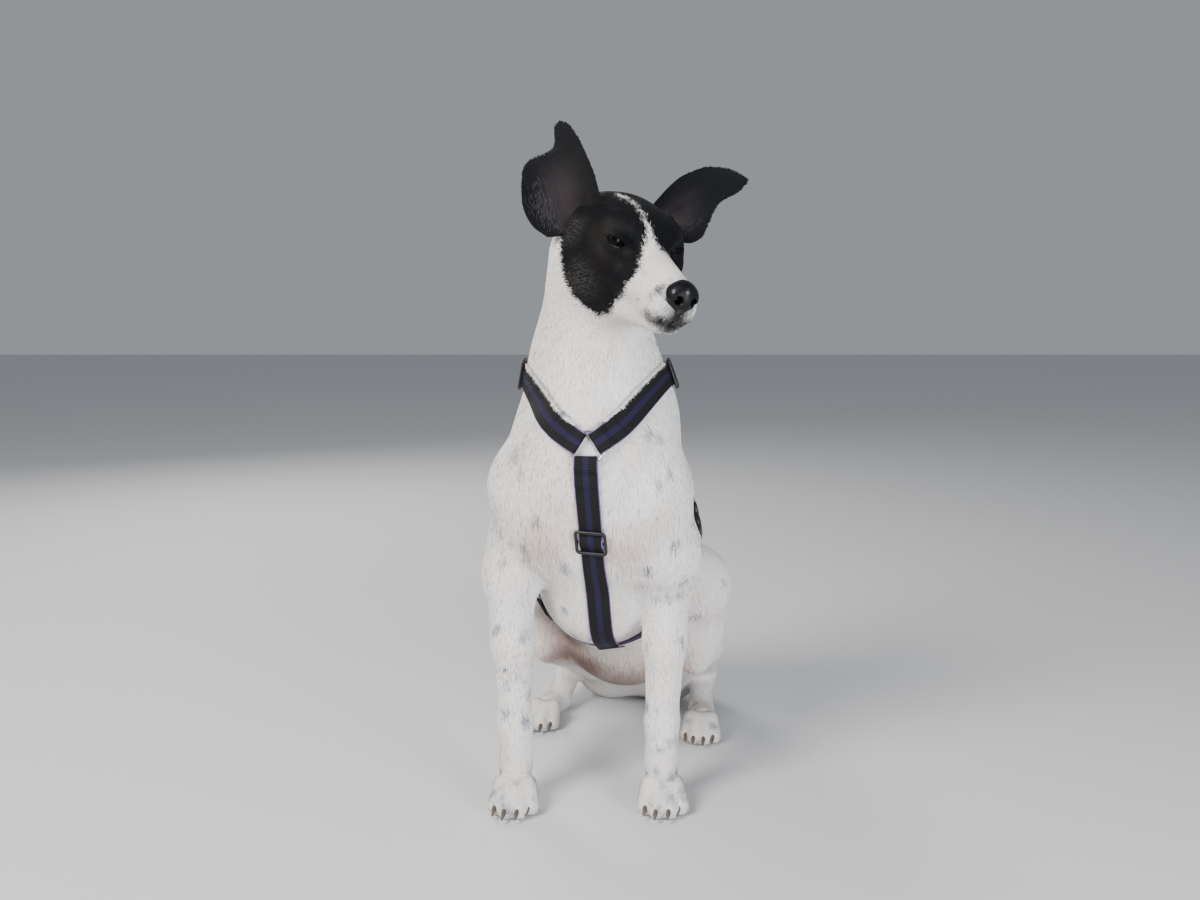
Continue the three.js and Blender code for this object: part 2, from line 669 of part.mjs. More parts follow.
// ---- where the cuts run; each cell can be grown to leave a gap round it
const mirroredBox = (s, low, high, grow) => {
  const [inner, outer] = [low[0] - grow, high[0] + grow];
  const xs = s > 0 ? [inner, outer] : [-outer, -inner];
  const bottom = [xs[0], low[1] - grow, low[2] - grow];
  return trunkBox(bottom, [xs[1], high[1] + grow, high[2] + grow]);
};
const NAPE_CUT = { point: head(0, -28, -80), normal: direction(HEAD, 0, 0.574, 0.82) };
const COLLAR_CUT = { point: body(0, -20, 420), normal: direction(TRUNK, 0, -0.243, 0.97) };
const beyond = (cut, grow) => halfSpace(sub(cut.point, scale(cut.normal, grow)), cut.normal);
function noseCell(grow) {
  const size = [52 + 2 * grow, 40 + 2 * grow, 36 + 2 * grow];
  const box = new THREE.BoxGeometry(...size).translate(0, 20, 0);
  return solidOf(box, turned(head(0, 78, -14), HEAD.axes));
}
const hindpawCell = (s, grow) => mirroredBox(s, [62, 100, -40], [150, 238, 42], grow);
const forepawCell = (s, grow) => mirroredBox(s, [30, -110, -40], [150, 40, 44], grow);
const forelegCell = (s, grow) => mirroredBox(s, [50, -90, 44 + GAP], [150, 72, 205], grow);
function thighCell(s, grow) {
  const slant = { point: body(s * 72, 130, 0), normal: direction(TRUNK, s * 0.99, 0.13, 0) };
  const block = mirroredBox(s, [20, 112, -40], [210, 400, 240], grow);
  return block.intersect(beyond(slant, grow));
}
const tailCell = (grow) => trunkBox([-80, 359 - grow, -40], [80, 600, 70 + grow]);

// ---- the harness pieces
const FRONT = collarPlace(1, 0);
const WITHERS_TURN = 180 - FRONT_RING_ANGLE;
const WITHERS = collarPlace(1, WITHERS_TURN);
const OVER_RING = 7;            // how high a band rides over the ring's wire
const ON_COAT = 0.4;
const OVER_BAND = ON_COAT + WEBBING_THICKNESS + 1.2;
const RISE = [[0, OVER_RING], [0.07, OVER_RING], [0.15, ON_COAT], [0.87, ON_COAT],
  [0.95, OVER_RING], [1, OVER_RING]];
const COLLAR_RIGHT_END = 180 + FRONT_RING_ANGLE;
const FROM_FRONT = 5.5;         // degrees between a ring's middle and a collar's end
const TO_WITHERS = 9;
const leftCollarPlace = (turn) => collarPlace(1, turn);
const rightCollarPlace = (turn) => collarPlace(-1, turn);
const collarLeft = band(leftCollarPlace, FROM_FRONT, WITHERS_TURN - TO_WITHERS, 18, RISE);
const collarRight = band(rightCollarPlace, FROM_FRONT, COLLAR_RIGHT_END - TO_WITHERS, 18, RISE);
const girth = band(girthPlace, 0, 360, 28, [[0, ON_COAT], [1, ON_COAT]], true);
const chestBand = band(chestPlace, -26, 88, 16, [
  [0, OVER_RING], [0.05, OVER_RING], [0.14, ON_COAT],
  [0.8, ON_COAT], [0.88, OVER_BAND], [1, OVER_BAND],
]);
const backBand = band(backPlace, 58, 16, 12, [
  [0, OVER_RING], [0.14, OVER_RING], [0.34, ON_COAT],
  [0.45, ON_COAT], [0.62, OVER_BAND], [1, OVER_BAND],
]);
const ALONG_BACK = direction(TRUNK, 0, -1, 0.3);
const harnessBands = {
  collar_left: collarLeft, collar_right: collarRight, girth_band: girth,
  chest_band: chestBand, back_band: backBand,
};
// Sliders and the buckle: the turn along its band at which each one lies.
const SLIDER_LIFT = ON_COAT + WEBBING_THICKNESS + 1.4;
const BUCKLE_LIFT = SLIDER_LIFT + 2;
const BUCKLE_SIZE = [32, 44, 7];
function slider(place, turn) {
  return { place, turn, size: SLIDER_SIZE, windows: SLIDER_WINDOWS, lift: SLIDER_LIFT };
}
const plates = {
  slider_collar_left: slider(leftCollarPlace, 98.1),
  slider_collar_right: slider(rightCollarPlace, 88.3),
  slider_chest: slider(chestPlace, 2.4),
  slider_girth: slider(girthPlace, 315),
  buckle_girth: { place: girthPlace, turn: 112.5, size: BUCKLE_SIZE, windows: [], lift: BUCKLE_LIFT },
};
function alongBand(place, turn) {
  const step = 5;
  return unit(sub(place(turn + step).point, place(turn - step).point));
}
function plateOn({ place, turn, size, windows, lift }) {
  return plateSolid(size, windows, place(turn), lift, alongBand(place, turn));
}
function bed({ place, turn, size, lift }) {
  const wider = [size[0] + 2 * GAP, size[1] + 2 * GAP, size[2]];
  return plateSolid(wider, [], place(turn), lift - GAP, alongBand(place, turn));
}

// ---- the flesh of each part: a net inside its box, cut to its cell
const HEAD_BOX = [[-50, -160, 462], [135, 95, 650]];
const legBox = (s, low, high) => {
  const corners = [low, high].map(([x, y, z]) => body(s * x, y, z));
  const ends = [0, 1].map((k) => corners.map((c) => c[k]));
  return [
    [Math.min(...ends[0]) - 30, Math.min(...ends[1]) - 30, low[2]],
    [Math.max(...ends[0]) + 30, Math.max(...ends[1]) + 30, high[2]],
  ];
};
const dogNet = (box, step) => net(dogDistance, box[0], box[1], step);
const NOSE_REACH = [34, 34, 34];
const noseMiddle = head(0, 86, -15);
const noseBox = [sub(noseMiddle, NOSE_REACH), add(noseMiddle, NOSE_REACH)];
const noseNet = net(headDistance, noseBox[0], noseBox[1], NET_STEP.nose);
const headNet = dogNet(HEAD_BOX, NET_STEP.head);
const flesh = {
  nose: noseNet.intersect(noseCell(0)),
  head: headNet.intersect(beyond(NAPE_CUT, 0)).subtract(noseCell(GAP)),
};
// The cells of the other parts, one gap wider: the trunk is what they leave.
const taken = [beyond(NAPE_CUT, GAP)];
for (const [s, side] of [[1, "left"], [-1, "right"]]) {
  const fore = dogNet(legBox(s, [20, -100, -12], [130, 90, 230]), NET_STEP.foreleg);
  const hind = dogNet(legBox(s, [20, 80, -12], [150, 400, 265]), NET_STEP.hindleg);
  const foreFoot = dogNet(legBox(s, [20, -110, -9], [130, 50, 62]), NET_STEP.forepaw);
  const hindFoot = dogNet(legBox(s, [50, 90, -9], [140, 250, 62]), NET_STEP.hindpaw);
  flesh[`forepaw_${side}`] = foreFoot.intersect(forepawCell(s, 0));
  flesh[`foreleg_${side}`] = fore.intersect(forelegCell(s, 0));
  flesh[`hindpaw_${side}`] = hindFoot.intersect(hindpawCell(s, 0));
  flesh[`hindleg_${side}`] = hind.intersect(thighCell(s, 0)).subtract(hindpawCell(s, GAP));
  taken.push(
    forepawCell(s, GAP), forelegCell(s, GAP), hindpawCell(s, GAP), thighCell(s, GAP),
  );
}
flesh.tail = dogNet([[0, 325, -9], [190, 600, 60]], NET_STEP.tail).intersect(tailCell(0));
taken.push(tailCell(GAP));
const neckNet = dogNet([[-115, -90, 385], [115, 160, 600]], NET_STEP.neck);
flesh.neck = neckNet.subtract(beyond(NAPE_CUT, GAP)).intersect(beyond(COLLAR_CUT, 0));
taken.push(beyond(COLLAR_CUT, GAP));
flesh.trunk = taken.reduce(
  (rest, cell) => rest.subtract(cell),
  dogNet([[-187, -115, -30], [195, 390, 480]], NET_STEP.trunk),
);

// ---- what sits in the flesh: ears, eyes and claws, each in its own hollow
const inset = {};
for (const [name, ear] of Object.entries(EARS)) {
  inset[name] = { solid: earSolid(ear), hollow: earSolid(ear, GAP), material: COAT_BLACK, host: "head" };
}
for (const [s, side] of [[1, "left"], [-1, "right"]]) {
  inset[`eye_${side}`] = {
    solid: eyeSolid(s), hollow: eyeSolid(s, GAP), material: EYE_BROWN, host: "head",
  };
  const paws = [
    ["forepaw", FORE_TOES, (spread) => foreToe(s, spread), [0, -1, 0]],
    ["hindpaw", HIND_TOES, (spread) => hindToe(s, spread), direction(TRUNK, 0, -1, 0)],
  ];
  for (const [paw, toes, toeAt, ahead] of paws) {
    toes.forEach((spread, n) => {
      const toe = toeAt(spread);
      inset[`claw_${paw}_${side}_${n + 1}`] = {
        solid: clawSolid(toe, ahead),
        hollow: clawSolid(toe, ahead, GAP),
        material: CLAW_HORN,
        host: `${paw}_${side}`,
      };
    });
  }
}
for (const { hollow, host } of Object.values(inset)) {
  flesh[host] = flesh[host].subtract(hollow);
}

// Whatever still pokes through the coat gets a bed in it.
const beds = Object.values(harnessBands).map((b) => bandSolid(b, GAP));
beds.push(ringSolid(FRONT, [0, 0, 1], GAP), ringSolid(WITHERS, ALONG_BACK, GAP));
beds.push(...Object.values(plates).map(bed));

// ---- the finished dog
const floor = halfSpace([0, 0, 0], [0, 0, 1]);
const dog = new THREE.Group();
dog.name = "dog";

function addNode(name, solid, material) {
  const { numProp, vertProperties, triVerts } = solid.getMesh();
  const geometry = new THREE.BufferGeometry();
  const positions = new Float32Array((vertProperties.length / numProp) * 3);
  for (let i = 0; i < positions.length; i += 1) {
    positions[i] = vertProperties[Math.floor(i / 3) * numProp + (i % 3)];
  }
  geometry.setAttribute("position", new THREE.BufferAttribute(positions, 3));
  geometry.setIndex(new THREE.BufferAttribute(new Uint32Array(triVerts), 1));
  geometry.computeVertexNormals();
  const mesh = new THREE.Mesh(geometry, new THREE.MeshStandardMaterial(material));
  mesh.name = name;
  dog.add(mesh);
}

for (const [name, solid] of Object.entries(flesh)) {
  const cut = beds.reduce((rest, bed) => rest.subtract(bed), solid);
  const material = { nose: NOSE_BLACK, head: COAT_BLACK }[name] ?? COAT_WHITE;
  addNode(name, largest(cut.intersect(floor)), material);
}
for (const [name, { solid, material }] of Object.entries(inset)) addNode(name, solid, material);
for (const [name, piece] of Object.entries(harnessBands)) addNode(name, bandSolid(piece), WEBBING);
for (const [name, plate] of Object.entries(plates)) addNode(name, plateOn(plate), BLACK_PLASTIC);
addNode("ring_front", ringSolid(FRONT, [0, 0, 1]), STEEL);
addNode("ring_withers", ringSolid(WITHERS, ALONG_BACK), STEEL);

// The origin is on the ground under the middle of the dog's box.
const box = new THREE.Box3().setFromObject(dog);
dog.position.set(-(box.min.x + box.max.x) / 2, -(box.min.y + box.max.y) / 2, 0);

export default dog;
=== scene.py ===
# %% [markdown]
# # A sitting dog in a walking harness
#
# A short-coated dog sits with its head turned to its left, one ear up and one
# turned out. It is life size. The solid part it is built round gives every
# place and size; this file makes the surfaces that a visitor would look at.
# All lengths in it are millimetres in the part's own frame until `in_metres`
# moves them, at the very end of each piece, into the frame of the scene.

# %% Load the part
import json
from functools import partial

import bpy
import numpy as np
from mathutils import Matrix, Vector

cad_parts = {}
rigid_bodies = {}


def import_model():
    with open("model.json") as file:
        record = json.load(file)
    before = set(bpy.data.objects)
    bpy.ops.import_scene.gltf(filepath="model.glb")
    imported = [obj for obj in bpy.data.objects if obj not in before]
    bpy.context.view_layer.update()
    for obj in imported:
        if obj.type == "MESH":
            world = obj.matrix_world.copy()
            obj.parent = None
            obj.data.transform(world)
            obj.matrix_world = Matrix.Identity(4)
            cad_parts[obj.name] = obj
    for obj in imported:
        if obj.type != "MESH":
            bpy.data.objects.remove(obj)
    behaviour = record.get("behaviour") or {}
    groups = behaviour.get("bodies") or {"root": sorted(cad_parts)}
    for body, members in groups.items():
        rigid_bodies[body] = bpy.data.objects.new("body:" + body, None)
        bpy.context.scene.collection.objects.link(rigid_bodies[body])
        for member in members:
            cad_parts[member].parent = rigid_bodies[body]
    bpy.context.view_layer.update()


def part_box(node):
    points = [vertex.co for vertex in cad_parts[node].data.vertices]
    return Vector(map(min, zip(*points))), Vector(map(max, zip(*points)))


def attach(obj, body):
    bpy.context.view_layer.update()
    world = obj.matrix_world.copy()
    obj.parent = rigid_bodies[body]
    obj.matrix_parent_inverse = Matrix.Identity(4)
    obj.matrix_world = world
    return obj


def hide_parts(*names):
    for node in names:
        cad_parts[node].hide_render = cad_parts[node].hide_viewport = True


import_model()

MM = 0.001  # metres in a millimetre
rng = np.random.default_rng(24)

# %% [markdown]
# ## Two frames of reference
#
# Anatomy is easier to write down where left is left. The trunk's frame has x
# to the dog's left and y to its rear, and the rump swings a little to one
# side. The head's frame sits between the eyes, with x left, y forward along
# the muzzle and z up through the crown. A point is then three plain numbers,
# and turning the head is a matter of three angles.

# %% Frames of the trunk and the head
TRUNK_TURN, HEAD_TURN, HEAD_NOD, HEAD_TILT = np.radians([12, 25, 20.5, 6])
HEAD_SIZE = 1.04
TRUNK_ORIGIN = np.array([-12.0, 0, 0])
HEAD_ORIGIN = np.array([44.1, -52, 577])


def unit(v):
    """Each vector divided by its own length."""
    return v / np.maximum(np.linalg.norm(v, axis=-1, keepdims=True), 1e-9)


def head_axes():
    """The head's left, forward and up: a level frame turned, nodded and tilted."""
    forward = np.array([
        np.sin(HEAD_TURN) * np.cos(HEAD_NOD),
        -np.cos(HEAD_TURN) * np.cos(HEAD_NOD),
        -np.sin(HEAD_NOD),
    ])
    level = np.array([np.cos(HEAD_TURN), np.sin(HEAD_TURN), 0])
    upright = -np.cross(level, forward)
    left = level * np.cos(HEAD_TILT) - upright * np.sin(HEAD_TILT)
    return np.array([left, forward, upright * np.cos(HEAD_TILT) + level * np.sin(HEAD_TILT)])


TRUNK_AXES = np.array([
    [np.cos(TRUNK_TURN), -np.sin(TRUNK_TURN), 0],
    [np.sin(TRUNK_TURN), np.cos(TRUNK_TURN), 0],
    [0, 0, 1],
])
HEAD_AXES = head_axes()


def body(x, y, z):
    return TRUNK_ORIGIN + np.array([x, y, z], float).T @ TRUNK_AXES


def head(x, y, z):
    return HEAD_ORIGIN + HEAD_SIZE * (np.array([x, y, z], float).T @ HEAD_AXES)


def in_trunk(p):
    return (p - TRUNK_ORIGIN) @ TRUNK_AXES.T


def in_head(p):
    return (p - HEAD_ORIGIN) @ HEAD_AXES.T / HEAD_SIZE


EYE_PLACE = np.array([29.6, -6.5, 0])
EYE_LOOK = unit(np.array([0.3, 0.95, 0.02]))
left_eye_box = np.array(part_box("eye_left")).mean(axis=0) / MM
SHIFT = left_eye_box - head(*EYE_PLACE)


def in_metres(p):
    return (p + SHIFT) * MM


print("the drawing's origin is moved by", SHIFT.round(2), "mm")

# %% [markdown]
# ## Camera and light
#
# The camera stands low in front of the dog and looks down a few degrees, so
# the whole dog shows in the middle of a wide frame. The light is a plain
# studio: one large soft lamp high on the left, a weak one on the right, a low
# one in front that puts a catchlight in the eyes, one behind to part the white
# coat from the pale floor, and a bright surround.

# %% Camera
def look_from(place, pitch_degrees, lens):
    camera_data = bpy.data.cameras.new("camera")
    camera_data.lens = lens
    camera_data.sensor_width = 36
    camera_data.clip_start, camera_data.clip_end = 0.05, 50
    camera = bpy.data.objects.new("camera", camera_data)
    camera.location = in_metres(np.array(place))
    camera.rotation_euler = (np.radians(90 - pitch_degrees), 0, 0)
    bpy.context.scene.collection.objects.link(camera)
    bpy.context.scene.camera = camera


look_from([0, -1130, 515], 7.2, lens=33)


# %% Lamps and surround
def lamp(name, place, aim, size, watts, colour):
    data = bpy.data.lights.new(name, "AREA")
    data.shape, data.size, data.energy, data.color = "DISK", size, watts, colour
    lamp_object = bpy.data.objects.new(name, data)
    lamp_object.location = place
    lamp_object.rotation_euler = (Vector(aim) - Vector(place)).to_track_quat("-Z", "Y").to_euler()
    bpy.context.scene.collection.objects.link(lamp_object)


MIDDLE_OF_DOG = (0, 0, 0.38)
lamp("key", (-1.5, -1.6, 1.9), MIDDLE_OF_DOG, 1.3, 100, (1, 0.97, 0.93))
lamp("fill", (1.6, -1.6, 1.5), MIDDLE_OF_DOG, 0.8, 4, (0.9, 0.94, 1))
lamp("catchlight", (1.0, -1.6, 0.42), (0.05, -0.25, 0.58), 0.7, 30, (0.92, 0.95, 1))
lamp("rim", (-1.1, 1.8, 1.6), MIDDLE_OF_DOG, 1.0, 34, (1, 0.96, 0.9))

world = bpy.data.worlds.new("studio")
bpy.context.scene.world = world
world.use_nodes = True
background = world.node_tree.nodes["Background"].inputs
background["Color"].default_value, background["Strength"].default_value = (0.80, 0.84, 0.90, 1), 0.38


# %% [markdown]
# ## Small tools for materials
#
# Colours are chosen as sRGB hex values, because that is how pigments are
# catalogued, and turned into the linear light that a renderer adds up. One
# function adds any shader node with its settings and its links, so that a
# material reads like a recipe.

# %% Colour and node tools
def linear(hex_colour):
    """sRGB to linear light: c / 12.92 below 0.04045, else ((c + 0.055) / 1.055)^2.4."""
    values = np.array([int(hex_colour[n:n + 2], 16) for n in (0, 2, 4)]) / 255
    return np.where(values <= 0.04045, values / 12.92, ((values + 0.055) / 1.055) ** 2.4)


def rgba(hex_colour):
    return (*linear(hex_colour), 1)


def add(tree, kind, inputs=None, **settings):
    """Adds a node with its settings, gives each input a value or a link, and returns its outputs."""
    made = tree.nodes.new("ShaderNode" + kind)
    for name, value in settings.items():
        setattr(made, name, value)
    for name, value in (inputs or {}).items():
        if isinstance(value, bpy.types.NodeSocket):
            tree.links.new(value, made.inputs[name])
        else:
            made.inputs[name].default_value = value
    return made.outputs


def new_material(name):
    material = bpy.data.materials.new(name)
    material.use_nodes = True
    material.node_tree.nodes.clear()
    return material, material.node_tree


def finish_material(tree, **inputs):
    """Ends a material with a Principled shader; words_with_underscores name its inputs."""
    named = {name.replace("_", " "): value for name, value in inputs.items()}
    shader = add(tree, "BsdfPrincipled", named)
    add(tree, "OutputMaterial", {"Surface": shader[0]})


# %% [markdown]
# ## Small tools for meshes
#
# Every piece is worked out as whole numpy arrays and handed to Blender in one
# go. Most pieces are a profile carried along a path; the skin is a net drawn
# round a distance function. `new_piece` turns points and faces into an object
# that rides on the dog's one body.

# %% A mesh, and a piece of the dog
def mesh_of(name, points, faces):
    """A mesh from points (mm) and a list of arrays of triangles or quads."""
    mesh = bpy.data.meshes.new(name)
    corners = np.concatenate([np.asarray(f).ravel() for f in faces])
    sizes = np.concatenate([np.full(len(f), np.shape(f)[1]) for f in faces])
    mesh.vertices.add(len(points))
    mesh.vertices.foreach_set("co", in_metres(points).astype(np.float32).ravel())
    mesh.loops.add(len(corners))
    mesh.loops.foreach_set("vertex_index", corners.astype(np.int32))
    mesh.polygons.add(len(sizes))
    mesh.polygons.foreach_set("loop_start", (np.cumsum(sizes) - sizes).astype(np.int32))
    mesh.polygons.foreach_set("use_smooth", np.ones(len(sizes), bool))
    mesh.update(calc_edges=True)
    return mesh, corners


def point_attribute(mesh, name, values):
    """Stores a colour (three columns) or a number for each vertex."""
    if np.ndim(values) == 1:
        mesh.attributes.new(name, "FLOAT", "POINT").data.foreach_set("value", values.astype(np.float32))
        return
    whole = np.column_stack([values, np.ones(len(values))]).astype(np.float32)
    mesh.attributes.new(name, "FLOAT_COLOR", "POINT").data.foreach_set("color", whole.ravel())


def new_piece(name, points, faces, material, slot, stands_for=(), attributes=None, uv=None):
    """Makes the object, lets it ride, and hides the nodes of the part that it stands for."""
    mesh, corners = mesh_of(name, points, faces)
    for key, values in (attributes or {}).items():
        point_attribute(mesh, key, values)
    if uv is not None:
        layer_name, values = uv
        layer = mesh.uv_layers.new(name=layer_name)
        layer.data.foreach_set("uv", values[corners].astype(np.float32).ravel())
    mesh.materials.append(material)
    piece = bpy.data.objects.new(name, mesh)
    bpy.context.scene.collection.objects.link(piece)
    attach(piece, "root")
    if stands_for:
        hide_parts(*stands_for)
    print(f"{name}: {len(points)} points, {sum((len(f) * (np.shape(f)[1] - 2)) for f in faces)} triangles")
    return piece


# %% [markdown]
# ### Tubes
#
# Webbing, wire, lips, claws and eyeballs are all rows of looped points. A
# curve object with a bevel makes a tube too, but its ends and its changing
# width are easier to hold as an array.

# %% Closed tubes and sweeps
def triangles_of(faces):
    """All faces as triangles."""
    return np.concatenate([
        f if np.shape(f)[1] == 3 else np.vstack([f[:, [0, 1, 2]], f[:, [0, 2, 3]]]) for f in faces
    ])


def volume(points, faces):
    """The signed volume: a sixth of the sum of a · (b × c) over all triangles."""
    a, b, c = (points[triangles_of(faces)[:, k]] for k in range(3))
    return (a * np.cross(b, c)).sum() / 6


def outward(points, faces):
    """The points, with the faces turned over if they enclose a negative volume."""
    return points, (faces if volume(points, faces) > 0 else [f[:, ::-1] for f in faces])


def tube(grid, closed=False):
    """Faces round a grid of points, rows of loops, with a fan over each end if it isn't closed."""
    rows, columns = grid.shape[:2]
    number = np.arange(rows * columns).reshape(rows, columns)
    if closed:
        number = np.vstack([number, number[:1]])
    onward = np.roll(number, -1, axis=1)
    faces = [np.stack([number[:-1], onward[:-1], onward[1:], number[1:]], axis=-1).reshape(-1, 4)]
    points = grid.reshape(-1, 3)
    for ring in () if closed else (number[0][::-1], number[-1]):
        faces.append(np.column_stack([ring, np.roll(ring, -1), np.full(columns, len(points))]))
        points = np.vstack([points, points[ring].mean(axis=0)])
    return outward(points, faces)


def sweep(path, across, up, profile, closed=False):
    """Carries a closed profile along a path: point = path + x·across + z·up.

    `profile` holds x and z, one row for each corner. It, `across` and `up` are
    either the same for all stations or given for each."""
    profile = np.broadcast_to(profile, (len(path), *np.shape(profile)[-2:]))
    across, up = (np.broadcast_to(way, path.shape)[:, None] for way in (across, up))
    return tube(path[:, None] + profile[..., :1] * across + profile[..., 1:] * up, closed)


def merged(parts):
    """Joins several (points, faces) into one."""
    points, faces, start = [], [], 0
    for part_points, part_faces in parts:
        points.append(part_points)
        faces += [np.asarray(f) + start for f in part_faces]
        start += len(part_points)
    return np.vstack(points), faces


# %% [markdown]
# Three small formulas shape everything else: an S-shaped step, a curve through
# given places, and a soft random pattern that is the same at every run.

# %% Steps, curves and ripples
def ramp(x, low, high):
    """0 below `low`, 1 above `high`, and a smooth S between: t²(3 - 2t)."""
    t = np.clip((x - low) / (high - low), 0, 1)
    return t * t * (3 - 2 * t)


def spans(pairs, t):
    """The places and values of pairs, the span that each t is in, and its share of that span."""
    place, value = np.array(pairs, float).T
    t = np.clip(t, place[0], place[-1])
    n = np.clip(np.searchsorted(place, t, side="right") - 1, 0, len(place) - 2)
    return place, value, n, (t - place[n]) / (place[n + 1] - place[n])


def through(pairs, t):
    """A smooth curve through [place, value] pairs, level beyond its ends.

    Between two pairs it is the cubic whose slope at each pair is that of the
    chord between its two neighbours."""
    place, value, n, u = spans(pairs, t)
    rise = np.empty(len(value))
    rise[1:-1] = (value[2:] - value[:-2]) / (place[2:] - place[:-2])
    rise[0] = (value[1] - value[0]) / (place[1] - place[0])
    rise[-1] = (value[-1] - value[-2]) / (place[-1] - place[-2])
    span = place[n + 1] - place[n]
    start = value[n] * (1 + 2 * u) * (1 - u) ** 2 + rise[n] * span * u * (1 - u) ** 2
    return start + value[n + 1] * u * u * (3 - 2 * u) + rise[n + 1] * span * u * u * (u - 1)


def ripple(p, wavelength, seed, waves=7):
    """A smooth pattern from about -1 to 1: the mean of sine waves in random directions."""
    draw = np.random.default_rng(seed)
    directions = unit(draw.normal(size=(waves, 3))) / wavelength * 2 * np.pi
    phases = draw.uniform(0, 2 * np.pi, waves)
    return np.sin(p @ directions.T + phases).sum(axis=1) / np.sqrt(waves)


# %% [markdown]
# ## The dog's form
#
# A body is muscle over bone, and reads as round masses that taper and melt
# into each other. A distance function says it directly: each mass is a rod
# with round ends or an egg, and a smooth minimum joins them with a fillet. A
# sculptor would do the same with clay. The sizes are the part's own, so the
# skin lies under the part's surface everywhere by the depth of the coat.

# %% Masses and how they join
ACROSS = TRUNK_AXES[0]
FAR = 90.0  # the distance given to points that no mass can reach
MARGIN = 16.0  # a mass is worked out this far beyond its box


def rod(start, end, start_radius, end_radius, blend, squash=1.0, axis=ACROSS):
    """A tapering rod: distance to its line less the radius there, flattened along `axis`."""
    start, end = np.array(start, float), np.array(end, float)
    along = end - start
    reach = max(along @ along, 1e-9)

    def distance(p):
        d = p - start
        t = np.clip(d @ along / reach, 0, 1)
        radius = start_radius + (end_radius - start_radius) * t
        off = d - t[:, None] * along
        if squash == 1:
            return np.linalg.norm(off, axis=1) - radius
        side = off @ axis
        wide = np.linalg.norm(off + np.outer(side * (1 / squash - 1), axis), axis=1)
        share = np.clip(1 - np.abs(side) / np.maximum(wide * squash, 1e-6), 0, 1)
        return (wide - radius) * (squash + (1 - squash) * share)

    low = np.minimum(start - start_radius, end - end_radius)
    return distance, blend, low, np.maximum(start + start_radius, end + end_radius)


def egg(middle, radii, blend):
    """An ellipsoid: |d/r| (|d/r| - 1) / |d/r²| is close to the distance near its surface."""
    middle, radii = np.array(middle, float), np.array(radii, float)

    def distance(p):
        d = p - middle
        near = np.linalg.norm(d / radii, axis=1)
        return near * (near - 1) / np.maximum(np.linalg.norm(d / radii**2, axis=1), 1e-6)

    return distance, blend, middle - radii, middle + radii


def smooth_minimum(a, b, blend):
    """The smaller of a and b, less blend·h(1 - h) where the two are close."""
    if blend <= 0:
        return np.minimum(a, b)
    h = np.clip(0.5 + 0.5 * (b - a) / blend, 0, 1)
    return b + (a - b) * h - blend * h * (1 - h)


def smooth_maximum(a, b, blend):
    return -smooth_minimum(-a, -b, blend)


def joined(pieces, p):
    """All pieces in one, each worked out only for the points that it can reach."""
    d = np.full(len(p), FAR)
    lowest, highest = p.min(axis=0), p.max(axis=0)
    for distance, blend, low, high in pieces:
        low, high = low - blend - MARGIN, high + blend + MARGIN
        if (highest < low).any() or (lowest > high).any():
            continue
        near = np.flatnonzero(((p > low) & (p < high)).all(axis=1))
        if len(near):
            d[near] = smooth_minimum(d[near], distance(p[near]), blend)
    return d


# %% [markdown]
# ### Trunk, legs and tail
#
# In a sitting dog the weight is on the haunches: the thigh folds over the
# shank, and the forelegs stand straight under the shoulders. Each part is a
# chain of rods from joint to joint, as thick as the muscle there. Both sides
# come from one list, with s = 1 on the left and -1 on the right.

# %% Trunk and neck
def trunk_flesh():
    pieces = [
        rod(body(0, 42, 380), body(0, 122, 250), 90, 104, 0, 0.86),
        rod(body(0, 122, 250), body(0, 212, 145), 102, 88, 30, 0.86),
        rod(body(0, 212, 150), body(0, 286, 92), 86, 70, 30, 0.98),
        rod(body(0, 70, 418), body(0, 128, 360), 44, 62, 45, 0.9),
        rod(body(0, -14, 378), body(0, 54, 208), 50, 56, 30),
    ]
    for s in (1, -1):
        pieces += [
            rod(body(s * 32, 286, 72), body(s * 36, 306, 50), 50, 52, 25),
            rod(body(s * 32, -10, 350), body(s * 40, 10, 280), 46, 44, 25),
            rod(body(s * 34, 74, 432), body(s * 60, 6, 338), 36, 42, 28),
            rod(body(s * 62, 4, 330), body(s * 76, 24, 262), 44, 35, 22),
        ]
    return pieces + [
        rod(body(0, 50, 408), body(-3, 38, 462), 70, 60, 35),
        rod(body(-3, 38, 462), head(-13, -64, -34), 60, 50, 30),
    ]


# %% Legs, feet and tail
FORE_TOES = [[-17, -30], [-6.5, -42], [6.5, -42], [17, -30]]
HIND_TOES = [[-16, -24], [-6, -34], [6, -34], [16, -24]]
TAIL = [
    [0, 318, 62, 26], [2, 352, 30, 19], [3, 396, 15, 15.5], [-2, 440, 12, 13],
    [-14, 484, 9.5, 10.5], [-34, 522, 6.5, 7.5],
]


def foreleg_points(s):
    places = [[84, 22, 235], [81, 6, 165], [78, -4, 82], [77, -14, 42]]
    return [body(s * 80, 24, 262)] + [TRUNK_ORIGIN + [s * x, y, z] for x, y, z in places]


def fore_toe(s, across, ahead):
    x, y, _ = foreleg_points(s)[-1]
    knuckle = [x + 0.7 * across, y - 8 + 0.35 * ahead, 24]
    return np.array(knuckle), np.array([x + across, y - 14 + 0.75 * ahead, 9])


def foreleg_flesh(s):
    elbow, forearm, middle, wrist, pastern = foreleg_points(s)
    pieces = [
        rod(elbow, forearm, 36, 27, 20),
        rod(forearm, middle, 27, 22.5, 18),
        rod(middle, wrist, 22, 17.5, 12),
        rod(wrist, pastern, 18.5, 17, 8),
        rod(pastern, [pastern[0], pastern[1] - 14, 14.5], 16.5, 17, 8),
    ]
    return pieces + [rod(*fore_toe(s, *toe), 11.3, 10.5, 2.5) for toe in FORE_TOES]


